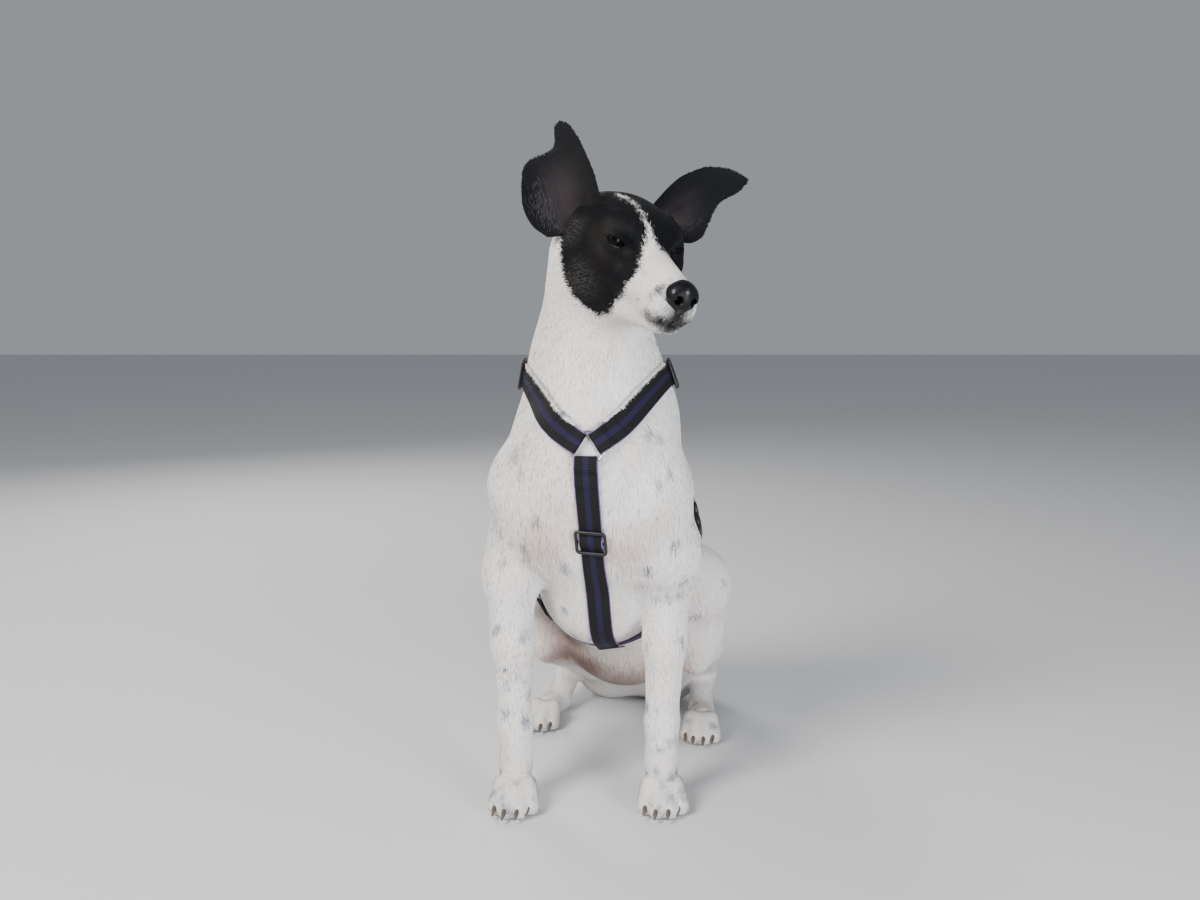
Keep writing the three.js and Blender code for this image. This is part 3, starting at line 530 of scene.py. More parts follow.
def hind_toe(s, across, ahead):
    knuckle = body(s * 99 + 0.7 * across, 196 + 0.4 * ahead, 21)
    return knuckle, body(s * 100 + across, 186 + 0.8 * ahead, 8.5)


def hindleg_flesh(s):
    knee, shank = body(s * 98, 158, 198), body(s * 94, 226, 108)
    hock, foot = body(s * 88, 296, 46), body(s * 93, 236, 14.5)
    pieces = [
        rod(body(s * 46, 262, 146), knee, 76, 39, 30, 0.72),
        rod(body(s * 62, 250, 108), body(s * 92, 190, 120), 58, 42, 25, 0.62),
        rod(knee, shank, 36, 25, 20),
        rod(shank, hock, 25, 16, 15),
        rod(hock, foot, 17, 15, 10),
        rod(foot, body(s * 99, 200, 15.5), 15, 16.5, 8),
    ]
    return pieces + [rod(*hind_toe(s, *toe), 10.8, 10, 2.5) for toe in HIND_TOES]


def tail_flesh():
    pairs = zip(TAIL, TAIL[1:])
    return [
        rod(body(*a[:3]), body(*b[:3]), a[3], b[3], 8 if n else 20) for n, (a, b) in enumerate(pairs)
    ]


# %% [markdown]
# ### Head
#
# A head is a skull with little flesh on it, so its planes show: cranium, brow,
# cheekbone, the narrow bridge of the muzzle. They are listed for one side and
# mirrored: a mirror modifier does the same for a mesh, and here the absolute
# value of x does it for a distance.

# %% Head
SIDE = np.array([1.0, 0, 0])
HEAD_FLESH = [
    egg([0, -50, -4], [50, 60, 39], 0),                           # cranium
    egg([0, -94, -14], [36, 26, 34], 20),                         # nape
    egg([31, -24, -17], [20, 36, 25], 16),                        # cheekbone
    egg([28, -40, -42], [24, 34, 32], 18),                        # jaw muscle
    egg([0, -14, 8], [36, 32, 20], 16),                           # forehead
    rod([15, 3, 9], [29, -14, 12], 10.5, 10, 10, 1, SIDE),        # brow
    rod([0, 8, -14], [0, 78, -20], 21.5, 15, 14, 1, SIDE),        # bridge of the muzzle
    rod([14, 10, -28], [9, 74, -30], 18, 13.5, 10, 1, SIDE),      # side of the muzzle
    rod([11, -20, -58], [5, 70, -49], 17, 10.5, 12, 1, SIDE),     # lower jaw
    egg([11, 60, -37], [12, 27, 12], 6),                          # lip
    rod([0, -10, -54], [0, -50, -60], 24, 32, 20, 1, SIDE),       # throat
    egg([0, 81, -18.5], [12.5, 12.5, 12.5], 4),                   # gristle of the nose
]
EYE_HOLLOW = egg([33.5, 15.5, -1], [14, 11, 9], 0)[0]
NOSTRIL = [
    egg([7.6, 95.5, -20], [3.6, 8, 3.9], 0),
    rod([9.4, 94.5, -22.6], [14.2, 89, -24.6], 1.6, 1.2, 1.2, 1, SIDE),
    rod([14.2, 89, -24.6], [17, 82, -23], 1.2, 0.8, 1, 1, SIDE),
]
HEAD_BLEND = 16


def head_distance(p):
    """The head's masses, the same on both sides, less the hollow in front of each eye."""
    q = in_head(p)
    d = np.full(len(q), FAR)
    near = np.flatnonzero((np.abs(q - [0, -10, -15]) < [95, 150, 115]).all(axis=1))
    if len(near):
        q = q[near]
        q[:, 0] = np.abs(q[:, 0])
        d[near] = smooth_maximum(joined(HEAD_FLESH, q), -EYE_HOLLOW(q), 8) * HEAD_SIZE
    return d


FLESH = trunk_flesh() + tail_flesh()
for s in (1, -1):
    FLESH += foreleg_flesh(s) + hindleg_flesh(s)


def dog_distance(p):
    return smooth_minimum(joined(FLESH, p), head_distance(p), HEAD_BLEND)


def slope(distance, p, step=0.4):
    """The direction in which a distance grows fastest, from small steps each way."""
    rows = [distance(p + step * e) - distance(p - step * e) for e in np.eye(3)]
    return unit(np.stack(rows, axis=1))


print("masses in the body:", len(FLESH), "and in the head:", len(HEAD_FLESH))

# %% [markdown]
# ## Skin
#
# The skin is where the body's distance equals minus the depth of the coat,
# about 1.3 mm on the trunk and 0.8 mm on the face and feet. To draw it, space is
# cut into small cubes; each cube that the surface crosses gets one point, and
# neighbouring points make a face. The cubes are squeezed towards the face,
# the eyes and the feet, where the forms are small, by a lens-like warp of the
# grid. A remesh modifier would do all of it at one cell size, and either
# waste faces on the back or lose the eyelids.

# %% A net round a distance function
BLOCK = 22  # cubes along a block that is worked out at once


def unpinch(values):
    """Where a square's corners are in and out by turns, the nearer outer one is taken inside."""
    for u, w in ((0, 1), (1, 2), (2, 0)):
        v = np.moveaxis(values, (u, w), (0, 1))
        a, b, c, d = v[:-1, :-1], v[1:, 1:], v[1:, :-1], v[:-1, 1:]
        for (one, other), (p, q) in (((a, b), (c, d)), ((c, d), (a, b))):
            pinched = (one < 0) & (other < 0) & (p >= 0) & (q >= 0)
            first = pinched & (p <= q)
            p[first] = -1e-3
            q[pinched & ~first] = -1e-3


def net(distance, low, high, step, squeeze=lambda q: q, passes=3):
    """Points and quads of the surface distance = 0 inside a box."""
    low = np.array(low, float)
    counts = np.ceil((np.array(high) - low) / step).astype(int) + 1
    lines = [low[k] + step * np.arange(counts[k]) for k in range(3)]
    grid = np.stack(np.meshgrid(*lines, indexing="ij"), -1)
    values = np.full(counts, float(step))
    for i in range(1, counts[0] - 1, BLOCK):
        for j in range(1, counts[1] - 1, BLOCK):
            for k in range(1, counts[2] - 1, BLOCK):
                part = tuple(
                    slice(n, min(n + BLOCK, counts[axis] - 1)) for axis, n in enumerate((i, j, k))
                )
                block = grid[part]
                values[part] = distance(squeeze(block.reshape(-1, 3))).reshape(block.shape[:3])
    for _ in range(3):
        unpinch(values)
    inside = values < 0
    corners = [(a, b, c) for a in (0, 1) for b in (0, 1) for c in (0, 1)]
    window = lambda a, b, c: inside[a:counts[0] - 1 + a, b:counts[1] - 1 + b, c:counts[2] - 1 + c]
    count = sum(window(*corner).astype(int) for corner in corners)
    cells = np.argwhere((count > 0) & (count < 8))
    middle, crossings = np.zeros((len(cells), 3)), np.zeros(len(cells))
    for axis in range(3):
        along = np.eye(3, dtype=int)[axis]
        for start in [c for c in corners if c[axis] == 0]:
            v = values[tuple((cells + start).T)]
            w = values[tuple((cells + start + along).T)]
            crossed = (v < 0) != (w < 0)
            t = np.where(crossed, v / np.where(crossed, v - w, 1), 0)
            middle += crossed[:, None] * (start + t[:, None] * along)
            crossings += crossed
    points = squeeze(low + (cells + middle / crossings[:, None]) * step)
    for _ in range(passes):
        reach = np.clip(distance(points), -0.35 * step, 0.35 * step)
        points = points - reach[:, None] * slope(distance, points)
    number = np.full(counts, -1)
    number[tuple(cells.T)] = np.arange(len(cells))
    quads = []
    for axis in range(3):
        u, w = np.eye(3, dtype=int)[[(axis + 1) % 3, (axis + 2) % 3]]
        v = np.moveaxis(inside, axis, 0)
        edges = np.argwhere(np.moveaxis(v[1:] != v[:-1], 0, axis))
        around = [edges - u - w, edges - w, edges, edges - u]
        quad = np.stack([number[tuple(e.T)] for e in around], axis=1)
        leaving = inside[tuple(edges.T)]
        quads.append(np.where(leaving[:, None], quad, quad[:, ::-1]))
    return points, np.concatenate(quads)


# %% [markdown]
# ### Eyelids and the roots of the ears
#
# The eyeball sits in the head with only its front showing. The lids are the
# skin stretched over it: a ball a little larger than the eye melts into the
# head, and an almond-shaped window is cut through to the eye, its inner
# corner lower than its outer one. Each ear grows from a short muscular cone.

# %% Eyes: their frame, the almond window, and the lids
EYEBALL = np.array([12.2, 11.0, 11.0])  # half sizes: across, forward, up
EYE_SUNK = 0.9  # the ball sits this far behind the part's one
LID_THICKNESS = 1.5
LID_SHELL = egg([0, 0, 0], EYEBALL + LID_THICKNESS, 0)[0]
WINDOW_HALF_WIDTH, WINDOW_HALF_HEIGHT = 10.2, 4.4
WINDOW_TILT = np.radians(13)


def eye_frame(s):
    """The eyeball's middle and its axes: towards the nose, the look, and up."""
    look = unit(np.array([s * EYE_LOOK[0], EYE_LOOK[1], EYE_LOOK[2]]) @ HEAD_AXES)
    nosewards = unit(-s * HEAD_AXES[0] + s * (HEAD_AXES[0] @ look) * look)
    up = unit(np.cross(nosewards, look))
    up = up * np.sign(up @ HEAD_AXES[2])
    middle = head(s * EYE_PLACE[0], EYE_PLACE[1], EYE_PLACE[2]) - EYE_SUNK * look
    return middle, np.array([nosewards, look, up])


EYE_FRAMES = {s: eye_frame(s) for s in (1, -1)}


def in_window(e):
    """Turns across and up by the window's tilt, in the eye's frame."""
    across = e[:, 0] * np.cos(WINDOW_TILT) - e[:, 2] * np.sin(WINDOW_TILT)
    return across, e[:, 2] * np.cos(WINDOW_TILT) + e[:, 0] * np.sin(WINDOW_TILT)


def window_distance(e):
    """How far a point is outside the almond: |up| - half height·(1 - (across/half width)²)."""
    across, up = in_window(e)
    almond = WINDOW_HALF_HEIGHT * (1 - (across / WINDOW_HALF_WIDTH) ** 2)
    return np.abs(up - 0.5) - almond


def with_lids(d, p):
    for middle, axes in EYE_FRAMES.values():
        near = np.flatnonzero(((p - middle) ** 2).sum(axis=1) < 34**2)
        if len(near):
            e = (p[near] - middle) @ axes.T
            lids = smooth_minimum(d[near], LID_SHELL(e), 5)
            window = np.maximum(window_distance(e), 3 - e[:, 1])
            d[near] = smooth_maximum(lids, -window, 0.8)
    return d


# %% Ears: where they grow and how they are cut
EARS = {
    "right": {
        "base": head(-48.9, -49.1, 8.6),
        "up": unit(np.array([-0.191, -0.52, 0.833]) @ HEAD_AXES),
        "facing": unit(np.array([-0.705, 0.663, 0.252]) @ HEAD_AXES),
        "side": -1,
        "bare": 0.75,
        "frost": 0.5,
        "tip": 94,
        "outer": [[-14, -38], [-1, -49], [20, -54], [50, -50], [58, -46], [63, -40], [67, -23],
                  [72, -16], [82, -13], [90, -11], [94, -5]],
        "inner": [[-14, 24], [0, 24], [16, 23], [37, 21], [63, 15], [78, 10], [88, 5], [94, -3]],
        "curl": 0.0085,
        "deepest": -4,
    },
    "left": {
        "base": head(50, -52.7, 14.6),
        "up": unit(np.array([0.726, 0.201, 0.658]) @ HEAD_AXES),
        "facing": unit(np.array([-0.386, 0.91, 0.148]) @ HEAD_AXES),
        "side": 1,
        "bare": 0.55,
        "frost": 0.05,
        "tip": 88,
        "outer": [[-14, -23], [0, -25], [8, -29.5], [15, -30.5], [22, -29], [34, -20],
                  [45, -11.5], [52, -8], [60, -7], [73, -7], [83, -4], [88, -1]],
        "inner": [[-14, 22], [-1, 27], [12, 32], [29, 36], [42, 35], [55, 32.5], [66, 26.5],
                  [75, 19.5], [84, 9], [88, 1]],
        "curl": 0.008,
        "deepest": 2,
    },
}
EAR_ROOTS = [
    rod(ear["base"] - 12 * ear["up"] - 10 * ear["facing"],
        ear["base"] + 6 * ear["up"] - 16 * ear["facing"], 15, 5, 14)
    for ear in EARS.values()
]

# %% [markdown]
# The skin is one closed net from the ears' roots to the toes. Separate shells
# would be quicker, but every seam would have to be hidden under the coat.

# %% The skin's own distance
GROUND = 0.4  # the soles end this far above the floor
TRUNK_DEPTH, SHORT_BY = 1.25, 0.45  # of the coat, and how much shorter it is on face and feet


def coat_depth(p):
    """Least on the face and the feet, where the hair is shortest."""
    _, ahead, height = in_head(p).T
    face = ramp(ahead, -90, -10) * ramp(height, -125, -70)
    feet = ramp(-p[:, 2], -90, -40)
    return TRUNK_DEPTH - SHORT_BY * np.maximum(face, feet)


def skin_distance(p):
    """The body with its ear roots, less the coat's depth, with lids, flat where it meets the ground."""
    d = dog_distance(p)
    near = np.flatnonzero(p[:, 2] > 540)
    if len(near):
        roots = joined(EAR_ROOTS, p[near])
        d[near] = smooth_minimum(d[near], roots, 14)
    d = with_lids(d + coat_depth(p), p)
    q = in_head(p)
    near = np.flatnonzero((q[:, 1] > 72) & (p[:, 2] > 470))
    if len(near):
        q = np.abs(q[near] * [1, 0, 0]) + q[near] * [0, 1, 1]
        d[near] = smooth_maximum(d[near], 1.2 - joined(NOSTRIL, q), 1)
    return smooth_maximum(d, GROUND - p[:, 2], 3)


LENSES = [(head(0, 12, -18), 170, 0.58)]
LENSES += [(middle + 8 * axes[1], 26, 0.5) for middle, axes in EYE_FRAMES.values()]
for s in (1, -1):
    LENSES += [(fore_toe(s, 0, -28)[0] - [0, 0, 8], 62, 0.45),
               (hind_toe(s, 0, -22)[0] - [0, 0, 8], 58, 0.45)]


def squeezed(q):
    """Each lens in turn draws the grid in: q - squeeze·(q - c)·exp(-|q - c|²/reach²)."""
    for centre, reach, squeeze in LENSES:
        off = q - centre
        q = q - squeeze * off * np.exp(-(off**2).sum(axis=1, keepdims=True) / reach**2)
    return q


SKIN_STEP = 3.55
SKIN_BOX = [[-150, -175, -14], [180, 545, 690]]
skin_points, skin_quads = net(skin_distance, *SKIN_BOX, SKIN_STEP, squeezed)
skin_normals = slope(skin_distance, skin_points)
print("the skin has", len(skin_points), "points and", len(skin_quads), "quads")

# %% [markdown]
# ### The leaves of the ears
#
# An ear is a thin cupped leaf of cartilage with skin on both faces. It is
# drawn as a closed loop carried from the root to the tip: the loop runs out
# along the back and home along the front, its width read from the two edge
# curves. The front has the ridges and the pocket that a real ear has.

# %% Ear surfaces
EAR_BEGINS = -14
EAR_ROWS, EAR_COLUMNS = 74, 60


def around(count):
    """The angles of `count` even places round a circle."""
    return np.arange(count) / count * 2 * np.pi


def ear_leaf(ear):
    """Points of one ear, with their place along it, across it, and which face they are on.

    A point is base + up·t + across·x + facing·(curl + h), where the curl is
    c(x - deepest)²(1 - 0.45 share) - 9(1 - share) and h is plus or minus the
    half thickness, thinner towards the tip and the rims."""
    across = ear["side"] * np.cross(ear["facing"], ear["up"])
    row = (1 - np.cos(np.linspace(0.12, np.pi - 0.03, EAR_ROWS))) / 2
    t = EAR_BEGINS + (ear["tip"] - 0.6 - EAR_BEGINS) * row
    angle = around(EAR_COLUMNS)
    share = np.clip(t / ear["tip"], -0.3, 1)[:, None]
    low, high = through(ear["outer"], t) + 0.7, through(ear["inner"], t) - 0.7
    u = (1 - np.cos(angle)) / 2
    x = low[:, None] + np.maximum(high - low, 0.8)[:, None] * u
    rim = np.abs(2 * u - 1) ** 3
    half = (3 * (1 - 0.4 * share) * (1 - 0.65 * rim) - 0.7).clip(0.35)
    face = np.sign(np.sin(angle)) * np.abs(np.sin(angle)) ** 0.5
    curl = ear["curl"] * (x - ear["deepest"]) ** 2 * (1 - 0.45 * share) - 9 * (1 - share)
    front = (face > 0) * (1 - rim)
    ridges = 1.5 * np.exp(-((x - 0.35 * high[:, None]) / 2.6) ** 2) * ramp(-share, -0.62, -0.3)
    ridges += 1.6 * np.exp(-((x - 0.45 * low[:, None]) / 3.2) ** 2) * ramp(-share, -0.5, -0.2)
    hollow = -3.5 * np.exp(-((x - ear["deepest"]) ** 2 + (t[:, None] - 6) ** 2) / 90)
    height = curl + half * face + front * (ridges + hollow)
    points = (ear["base"] + t[:, None, None] * ear["up"] + x[..., None] * across
              + height[..., None] * ear["facing"])
    along = np.broadcast_to(t[:, None], x.shape)
    return points, along.ravel(), x.ravel(), np.broadcast_to(face, x.shape).ravel()


def mesh_normals(points, faces):
    """The mean of the neighbouring faces' normals, weighted by their areas."""
    triangles = triangles_of(faces)
    a, b, c = (points[triangles[:, k]] for k in range(3))
    face_normals = np.cross(b - a, c - a)
    normals = np.zeros_like(points)
    for k in range(3):
        for axis in range(3):
            normals[:, axis] += np.bincount(triangles[:, k], face_normals[:, axis], len(points))
    return unit(normals)


ear_parts = {}
for name, ear in EARS.items():
    grid, t, x, face = ear_leaf(ear)
    points, faces = tube(grid)
    pad = lambda values: np.append(values, [values[:EAR_COLUMNS].mean(), values[-EAR_COLUMNS:].mean()])
    ear_parts[name] = dict(points=points, faces=faces, t=pad(t), x=pad(x), face=pad(face),
                           normals=mesh_normals(points, faces), ear=ear)
    print(name, "ear:", len(points), "points, volume", round(volume(points, faces) / 1000, 1), "ml")

# %% [markdown]
# ## Markings
#
# The coat is white, with a black mask over both eyes, ears and cheeks, parted
# by a thin white blaze that widens into a white muzzle. Blue-grey ticks are
# spots of dark skin that show through the white hair. A marking is a formula
# of place, so the skin and each tuft of hair on it agree: the mask is where a
# point of the head is behind its front edge and ahead of its back edge.

# %% Where each marking lies
MASK_FRONT = [  # height in the head, and how far forward the black reaches there
    [-80, -9], [-73, -6], [-66, 8], [-60, 13], [-49, 19], [-34, 34], [-23, 39], [-13, 38],
    [-3, 31], [3, 29], [9, 38], [14, 60], [20, 80],
]
MASK_BACK = [  # height in the head, and how far back it reaches
    [-80, -6], [-73, -7], [-67, -18], [-57, -30], [-41, -40], [-21, -52], [0, -76], [20, -99],
]
BLAZE_RIGHT = [
    [-60, -13], [-42, -13.5], [-30, -10.8], [-7, -10.1], [8, -10.6], [18, -10.2], [25, -13], [38, -22],
]
BLAZE_LEFT = [
    [-60, -14], [-42, -9], [-30, -8.6], [-7, -8.6], [8, -8.2], [16, -5.6], [25, -1], [32, 7], [38, 15],
]
MASK_SOFTNESS = 1.8


def mask(p):
    """1 on the black mask and 0 on white, with an edge that wanders by a hair's length."""
    x, y, z = in_head(p).T
    wander = 1.3 * ripple(p, 11, 5) + 0.8 * ripple(p, 4, 6)
    blaze = np.minimum(x - through(BLAZE_RIGHT, y), through(BLAZE_LEFT, y) - x)
    blaze = np.minimum(blaze, np.minimum(y + 54, z + 8))
    white = np.maximum(y - through(MASK_FRONT, z), through(MASK_BACK, z) - y)
    white = np.maximum(white, blaze)
    return ramp(-white - wander * 0.8, -MASK_SOFTNESS, MASK_SOFTNESS)

# %% [markdown]
# ### Spots
#
# Every softer marking is a round spot: a place, a radius and a strength. A
# painted texture could hold them, but the tufts couldn't read it.

# %% Spots and ticks
def near_to(p, places, stretch=(1, 1, 1)):
    """The strongest of exp(-(distance/radius)^4) over places given as x, y, z, radius, strength."""
    best = np.zeros(len(p))
    for x, y, z, radius, strength in places:
        off = (p - [x, y, z]) / stretch
        squared = (off**2).sum(axis=1) / radius**2
        best = np.maximum(best, strength * np.exp(-(squared**2)))
    return best


LIPS = [  # places in the head's frame, the radius of the spot and its strength
    [0, 89, -21, 16, 1], [0, 88, -37, 12, 1], [0, 82, -46, 13, 1], [-11, 82, -42, 10, 1],
    [11, 82, -42, 10, 1], [-17, 73, -44, 8, 0.8], [17, 73, -44, 8, 0.8],
]
GRIZZLE = [
    [-44, -17, -42, 19, 0.3], [44, -17, -42, 19, 0.3], [-53, -44, -6, 15, 0.24], [53, -44, -6, 15, 0.24],
]
BROWN = [
    [-44, -10, 5, 14, 0.5], [44, -10, 5, 14, 0.5], [-41, 2, -17, 14, 0.38], [41, 2, -17, 14, 0.38],
]
MUZZLE_TICKS = [
    [-16.5, 76.5, -18, 5.6, 1.0], [-19, 73, -27, 4.5, 0.8], [17.5, 74, -17, 3.5, 0.5],
    [-21, 47, -12, 3.6, 0.7], [-12, 75, -5.5, 3.0, 0.7], [-25, 56, -34, 3.0, 0.5], [-21, 73, -39, 5, 0.55],
    [8, 62, -1, 2.6, 0.6], [22, 50, -14, 3.4, 0.6], [-19, 62, -44, 4, 0.4], [19, 66, -38, 4, 0.5],
]
BARE_PINK = [  # places in the trunk's frame where the hair is thin
    [-42, -44, 284, 30, 0.75], [46, -44, 286, 28, 0.65], [0, 60, 160, 46, 0.45],
    [-50, 150, 110, 52, 1], [50, 150, 110, 52, 1], [0, 170, 96, 60, 0.9], [88, 150, 190, 40, 0.35],
    [-88, 150, 190, 40, 0.3],
]
# places in the trunk's frame where brown skin shows through thin hair, and where painted shade darkens the
# armpit creases, the inner thighs and the belly
BROWN_SKIN_AND_SHADE_PLACES = [
    [-62, 118, 150, 42, 1], [-50, 140, 90, 44, 1], [30, 130, 60, 44, 0.8], [0, 165, 70, 50, 0.8],
    [-42, -40, 272, 24, 0.35], [46, -40, 274, 22, 0.3],
]


def tick_places(count):
    """Random points of the skin: most on the legs and shoulders, fewer on the rest."""
    q = in_trunk(skin_points)
    legs = ramp(-skin_points[:, 2], -300, -200) * (q[:, 1] < 90)
    shoulders = ramp(np.abs(q[:, 0]), 40, 75) * ramp(-q[:, 1], -60, 10) * (skin_points[:, 2] < 400)
    haunch = ramp(q[:, 1], 110, 160) * ramp(np.abs(q[:, 0]), 50, 90) * 0.55
    chance = 0.10 + 1.0 * legs + 1.0 * shoulders + haunch
    chance = chance * ramp(-skin_points[:, 2], -440, -400) * (skin_points[:, 2] > 12)
    picked = rng.choice(len(skin_points), count, replace=False, p=chance / chance.sum())
    radius = rng.uniform(2.2, 6.2, count) * np.where(skin_points[picked, 2] < 250, 0.85, 1.1)
    return np.column_stack([skin_points[picked], radius, rng.uniform(0.55, 1.0, count)])


TICKS = tick_places(230)


def ticking(p):
    """Soft spots, longer along the hair than across it."""
    return near_to(p + 1.2 * np.column_stack([ripple(p, 7, n) for n in (11, 12, 13)]), TICKS, (1, 1, 1.5))


# %% [markdown]
# ### Colours of hair and skin
#
# Seen close up, white hair is cream and black hair is nearly brown. Where the
# hair is thin, on the belly and inside the thighs, the skin's own pink and
# brown come through, so those are mixed into the coat by place. The brown is
# also painted shade: it darkens the armpit creases, the inner thighs and the
# belly, where shadow falls under the body.

# %% Colours of hair and skin
WHITE_HAIR, CREAM_HAIR, BLACK_HAIR = linear("f0edea"), linear("e6dacd"), linear("06070b")
TICK_HAIR, BROWN_HAIR, GREY_HAIR = linear("414d68"), linear("1d1411"), linear("78736e")
# the brown of bare skin is darkened so that it also serves as painted shade
PINK_SKIN, BROWN_SKIN_AND_SHADE, BLACK_SKIN = linear("dcb4a4"), linear("4a322b"), linear("060506")
MUZZLE_HAIR = linear("403a42")
INNER_EAR, FROST_HAIR = linear("322a2d"), linear("504e58")


def mix(a, b, share):
    """From a to b by a share for each point."""
    return a + np.subtract(b, a) * np.reshape(share, (-1, 1))


def coat_colour(p):
    """The hair's colour at each point: white, then each marking laid over it."""
    q, h = in_trunk(p), in_head(p)
    cream = 0.35 + 0.3 * ripple(p, 60, 21)
    colour = mix(WHITE_HAIR, CREAM_HAIR, np.clip(cream, 0, 1) * 0.6)
    colour = mix(colour, PINK_SKIN, near_to(q, BARE_PINK) * 0.6)
    # brown skin, and painted shade in the armpits, inner thighs and belly
    colour = mix(colour, BROWN_SKIN_AND_SHADE, near_to(q, BROWN_SKIN_AND_SHADE_PLACES) * 0.85)
    colour = mix(colour, TICK_HAIR, ticking(p) * 0.85)
    black = mask(p)
    head_only = p[:, 2] > 470
    dark = mix(mix(BLACK_HAIR, BROWN_HAIR, near_to(h, BROWN) * head_only), GREY_HAIR,
               near_to(h, GRIZZLE) * ramp(ripple(p, 2.2, 31), -0.5, 1.1) * head_only)
    colour = mix(colour, dark, black)
    colour = mix(colour, MUZZLE_HAIR, near_to(h, MUZZLE_TICKS) * head_only)
    return mix(colour, BLACK_SKIN, near_to(h, LIPS) * head_only)


def eye_shade(p):
    """1 on the bare dark rim round each eye."""
    shade = np.zeros(len(p))
    for middle, axes in EYE_FRAMES.values():
        near = np.flatnonzero(((p - middle) ** 2).sum(axis=1) < 22**2)
        e = (p[near] - middle) @ axes.T
        shade[near] = ramp(-window_distance(e), -3.2, -1.4) * (e[:, 1] > 0)
    return shade


def ear_colour(part):
    """Black hair outside; inside a bare brown-grey that darkens to the rims and the tip."""
    x, t, front = part["x"], part["t"], part["face"] > 0
    low, high = through(part["ear"]["outer"], t), through(part["ear"]["inner"], t)
    u = np.clip((x - low) / np.maximum(high - low, 1), 0, 1)
    bare = part["ear"]["bare"]
    inner = ramp(1 - np.abs(2 * u - 1), 0.15, 1) * ramp(-t / part["ear"]["tip"], -bare, 0.5 - bare) * front
    colour = mix(np.broadcast_to(BLACK_HAIR, part["points"].shape), INNER_EAR, inner * 0.75)
    return colour, inner


# %% [markdown]
# ### The finish of skin and hair
#
# Skin is a soft, slightly oily surface with a fine grain, and hair is keratin:
# smooth and a little glossy. Shade is painted into the hair's colour towards the
# root, where little light reaches between the hairs. Both read their colour from
# the points of their own mesh. The grain and the streaks are noise at the scale
# of pores and of single hairs.

# %% Skin and hair materials
PORE_SIZE = 0.9  # of the skin's grain, in millimetres
HAIR_WIDTH = 0.5  # of a streak in a tuft; one real hair is near 0.05


def skin_material():
    """Bare skin under short hair: the hair's own colour, duller, with a fine grain."""
    material, tree = new_material("dog_skin_short_haired")
    place = add(tree, "TexCoord")["Object"]
    colour = add(tree, "Attribute", attribute_name="coat")["Color"]
    pores = {"Vector": place, "Scale": 1 / (PORE_SIZE * MM), "Detail": 3.0}
    pores = add(tree, "TexNoise", pores)[0]
    bump = add(tree, "Bump", {"Height": pores, "Strength": 0.35, "Distance": 0.4 * MM})[0]
    rough = add(tree, "MapRange", {"Value": pores, "To Min": 0.5, "To Max": 0.75})[0]
    finish_material(tree, Base_Color=colour, Normal=bump, Roughness=rough, Specular_IOR_Level=0.14)
    return material


def hair_material():
    """Short keratin hair: streaked along each tuft, with painted shade towards the root, and a soft sheen.
    """
    material, tree = new_material("short_dog_hair")
    place = add(tree, "TexCoord")["Object"]
    colour = add(tree, "Attribute", attribute_name="coat")["Color"]
    rise = add(tree, "Attribute", attribute_name="rise")["Fac"]
    streaks = add(tree, "TexNoise", {"Vector": place, "Scale": 1 / (2 * HAIR_WIDTH * MM)})[0]
    # painted shade: the colour is darkened towards each tuft's root, where the tufts would shade it
    painted_shading = add(tree, "MapRange", {"Value": rise, "To Min": 0.78, "To Max": 1.0})[0]
    varied = add(tree, "MapRange", {"Value": streaks, "To Min": 0.86, "To Max": 1.1})[0]
    light = add(tree, "Math", {0: painted_shading, 1: varied}, operation="MULTIPLY")[0]
    shaded = add(tree, "VectorMath", {"Vector": colour, "Scale": light}, operation="SCALE")[0]
    rough = add(tree, "MapRange", {"Value": streaks, "To Min": 0.55, "To Max": 0.78})[0]
    finish_material(tree, Base_Color=shaded, Roughness=rough,
                    Specular_IOR_Level=0.15, Sheen_Weight=0.015, Sheen_Roughness=0.5)
    return material


SKIN, HAIR = skin_material(), hair_material()

# %% [markdown]
# The net and both ears become one mesh, since skin has no joins, and it stands
# for every node of flesh in the solid part.

# %% The skin, as one piece
FLESH_NODES = ["head", "neck", "trunk", "tail"]
FLESH_NODES += [f"{part}_{side}" for part in ("ear", "foreleg", "forepaw", "hindleg", "hindpaw")
                for side in ("left", "right")]
skin_colour = mix(coat_colour(skin_points), BLACK_SKIN, eye_shade(skin_points)) * 0.95
parts, colours = [(skin_points, [skin_quads])], [skin_colour]
for part in ear_parts.values():
    part["colour"], part["inner"] = ear_colour(part)
    parts.append((part["points"], part["faces"]))
    colours.append(part["colour"] * 0.9)
new_piece("skin", *merged(parts), SKIN, "white_coat", FLESH_NODES, {"coat": np.vstack(colours)})

# %% [markdown]
# ## Coat
#
# This is a short coat that lies flat, so its colour and sheen matter more than
# its depth; the hairs show at the outline, along each marking's edge and where
# the coat turns. Hair curves would be the usual way to make it, but they can't
# leave Blender as a mesh. Here each tuft is a thin closed sliver: a root in the
# skin, three corners at its widest place and a tip, laid along the body. Its
# normals lean only a little away from the skin's, so that thousands of slivers
# still shade as one soft surface.

# %% Which way the hair lies, and how long it is
WHORL = body(24, -56, 398)


def flattened(ways, normals):
    """Directions laid flat on the skin, by taking off what points along its normal."""
    return unit(ways - (ways * normals).sum(axis=1, keepdims=True) * normals)


